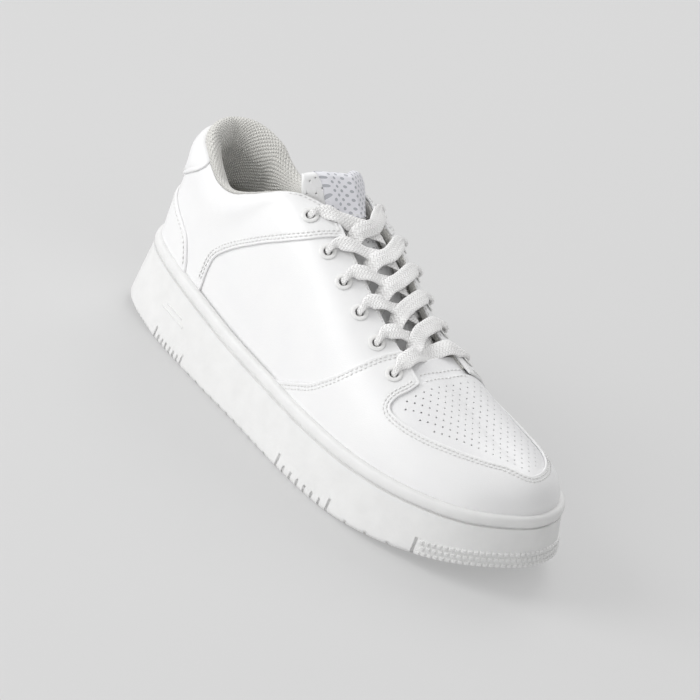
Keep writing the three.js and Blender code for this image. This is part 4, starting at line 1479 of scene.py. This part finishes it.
def side_cuts(side):
    """Grooves and notches round the lower edge of one side of the sole."""
    place = lambda around: around if side > 0 else -around * INNER_SCALE
    cuts = []
    for i, around in enumerate(np.linspace(66, 92, 8)):
        cuts.append(wall_cut(place(around), 1.5, -1, 7.0 if i in (0, 7) else 4.6))
    for i, around in enumerate(np.linspace(184, 225, 8)):
        cuts.append(wall_cut(place(around), 1.7, -1, 8.0 if i in (0, 7) else 4.8))
    for around in np.arange(101, 180, 7.2):
        cuts.append(wall_cut(place(around), 1.5, -1, 2.0))
    for around in (238, 250.5, 263.5):
        cuts.append(wall_cut(place(around), 1.7, -1, 2.6))
    cuts.append(wall_cut(place(276.5), 1.6, -1, 9.5))
    for around in np.arange(1.3, 62, 2.9):
        cuts.append(wall_cut(place(around), 1.3, -1, 2.0))
    return cuts


def tread_cuts():
    """Zigzag channels across the underside."""
    cuts = []
    for x in np.arange(-122, 128, 8.5):
        low = foot_point(around_at(np.array([x]), True))[0, 1] + 11
        high = foot_point(around_at(np.array([x]), False))[0, 1] - 11
        if high - low < 12:
            continue
        y = np.arange(low, high, 6.0)
        zigzag = x + 2.4 * np.where(np.arange(len(y)) % 2 == 0, 1, -1)
        top = sole_bottom(x) + 1.5
        points, faces = [], []
        for px, py in zip(zigzag, y):
            left, right = px - 1.1, px + 1.1
            points += [[left, py, -4], [right, py, -4], [right, py, top], [left, py, top]]
        for i in range(len(y) - 1):
            for k in range(4):
                a, b = i * 4 + k, i * 4 + (k + 1) % 4
                faces.append([a, b, b + 4, a + 4][::-1])
        faces += [[0, 1, 2, 3], [len(points) - 1, len(points) - 2, len(points) - 3, len(points) - 4]]
        cuts.append((np.array(points), faces))
    return cuts


def make_sole():
    around = ring_positions(1100)
    sections = sole_section(around)
    faces = swept_faces(*sections.shape[:2])
    return new_object("outsole_rubber_cup", sections.reshape(-1, 3), faces, RUBBER)


def fan_closed(piece):
    """Closes the two ridges along the middle line of a swept body."""
    weld = piece.modifiers.new("weld", "WELD")
    weld.merge_threshold = 0.000002
    apply_modifiers(piece)


def stud(around, above, width=2.1, height=2.0, proud=1.05):
    at, along, out = wall_frame(around, above)
    up = np.array([0, 0, 1.0])
    points = []
    for d, size in ((-0.6, 1.0), (0.35 * proud, 1.0), (proud, 0.66)):
        for a, b in ((-1, -1), (1, -1), (1, 1), (-1, 1)):
            points.append(at + out * d + along * a * size * width / 2 + up * b * size * height / 2)
    faces = [[3, 2, 1, 0], [8, 9, 10, 11]]
    for ring in (0, 4):
        for k in range(4):
            a, b = ring + k, ring + (k + 1) % 4
            faces.append([a, b, b + 4, a + 4])
    return np.array(points), faces


def toe_studs():
    parts = []
    start, end = 279.5, GIRTH - 279.5 * INNER_SCALE
    for row, above in enumerate((1.9, 4.8, 7.7)):
        for around in np.arange(start, end, 3.05):
            parts.append(stud(around + (row % 2) * 1.5, above))
    return parts


def side_ribs():
    """Two plain raised lines on each side of the heel."""
    parts = []
    for side in (1, -1):
        for above, start, end in ((17.5, 63, 84), (20.6, 66, 81)):
            for around in np.arange(start, end, 1.0):
                place = around if side > 0 else -around * INNER_SCALE
                parts.append(stud(place, above, 1.2, 0.9, 0.35))
    return parts


sole = make_sole()
fan_closed(sole)
cut_away(sole, *merged(side_cuts(1) + side_cuts(-1) + tread_cuts()))
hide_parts("outsole_cup")
sole.data.shade_smooth()
sharpen = sole.modifiers.new("sharp", "EDGE_SPLIT")
sharpen.split_angle = math.radians(50)
studs = new_object("toe_bumper_studs", *merged(toe_studs()), RUBBER)
studs.data.shade_flat()
ribs = new_object("heel_side_ribs", *merged(side_ribs()), RUBBER)
ribs.data.shade_flat()

# ---------------------------------------------------------------- footbed


FOOTBED_EDGE = [  # inset from the board's edge, height over the footbed
    [0.4, -3.8], [0, -3.2], [0, 0.6], [0.4, 1.4], [1.2, 1.7], [2.4, 1.5], [4, 0.9], [8, 0.2],
]


def make_footbed():
    around = ring_positions(400)
    top = lambda above: (lambda x: lip_height(x) - 4 + above)
    edge_points = [
        inset_point(around, BOARD_INSET + inset, top(height))
        for inset, height in FOOTBED_EDGE
    ]
    middle = middle_line(around, top(0))
    under = middle_line(around, top(-3.8))
    layers = [under] + edge_points
    for t in np.linspace(0, 1, 14)[1:]:
        layer = mix(edge_points[-1], middle, t)
        layer[:, 2] = lip_height(layer[:, 0]) - 4 + mix(0.2, 0, t)
        layers.append(layer)
    points = np.stack(layers, 1)
    flat = points.reshape(-1, 3)
    faces = swept_faces(*points.shape[:2])
    return new_object("sockliner_footbed", flat, faces, FOOTBED, uv=flat[:, :2])


footbed = make_footbed()
fan_closed(footbed)
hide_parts("sockliner")

# ---------------------------------------------------------------- CAD pieces that stay

STAYING = {
    "midsole_foam": FOAM, "insole_board": BOARD, "heel_counter": STIFFENER, "toe_puff": STIFFENER,
    "vamp_lining": LINING,
}
for node, (material, _) in STAYING.items():
    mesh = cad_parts[node].data
    mesh.materials.clear()
    mesh.materials.append(material)

# ---------------------------------------------------------------- floor and light


def add_floor():
    points = [[-6, -6, 0], [6, -6, 0], [6, 6, 0], [-6, 6, 0]]
    mesh = bpy.data.meshes.new("studio_floor")
    mesh.from_pydata(points, [], [[0, 1, 2, 3]])
    floor = bpy.data.objects.new("studio_floor", mesh)
    bpy.context.scene.collection.objects.link(floor)
    look = Look("floor_pale_matte", (0.4, 0.4, 0.4), 0.95, Emission_Strength=0.27)
    look.shader.inputs["Emission Color"].default_value = (1, 1, 1, 1)
    look.bump(look.noise(60, 2), 0.0002, 0.2)
    mesh.materials.append(look.material)


def add_light(name, place, size, power):
    data = bpy.data.lights.new(name, "AREA")
    data.size = size
    data.energy = power
    light = bpy.data.objects.new(name, data)
    back = Vector(place).normalized()
    light.location = Vector(place)
    light.rotation_euler = back.to_track_quat("Z", "Y").to_euler()
    bpy.context.scene.collection.objects.link(light)


add_floor()
RIGHT, UP, BACK = camera_axes()
add_light("key", (-RIGHT * 1.1 + UP * 1.0 + BACK * 0.7), 0.9, 12.5)
add_light("fill", (RIGHT * 0.9 + UP * 0.3 + BACK * 1.4), 1.2, 3.4)
add_light("side", (-RIGHT * 0.9 - UP * 0.5 + BACK * 0.9), 1.0, 8.0)
add_light("rim", (RIGHT * 0.6 + UP * 1.3 - BACK * 0.4), 0.8, 5)
world = bpy.data.worlds.new("studio")
world.use_nodes = True
sky = world.node_tree
background = sky.nodes["Background"]
background.inputs["Color"].default_value = (1, 1, 1, 1)
direction = sky.nodes.new("ShaderNodeTexCoord")
towards_toe = sky.nodes.new("ShaderNodeVectorMath")
towards_toe.operation = "DOT_PRODUCT"
towards_toe.inputs[1].default_value = (0.82, 0.2, -0.54)
sky.links.new(direction.outputs["Generated"], towards_toe.inputs[0])
fall = sky.nodes.new("ShaderNodeMapRange")
for socket, value in (("From Min", -0.1), ("From Max", 0.85), ("To Min", 0.62), ("To Max", 0.06)):
    fall.inputs[socket].default_value = value
sky.links.new(towards_toe.outputs["Value"], fall.inputs["Value"])
sky.links.new(fall.outputs["Result"], background.inputs["Strength"])
bpy.context.scene.world = world
bpy.context.scene.view_settings.view_transform = "Standard"

bpy.context.view_layer.update()
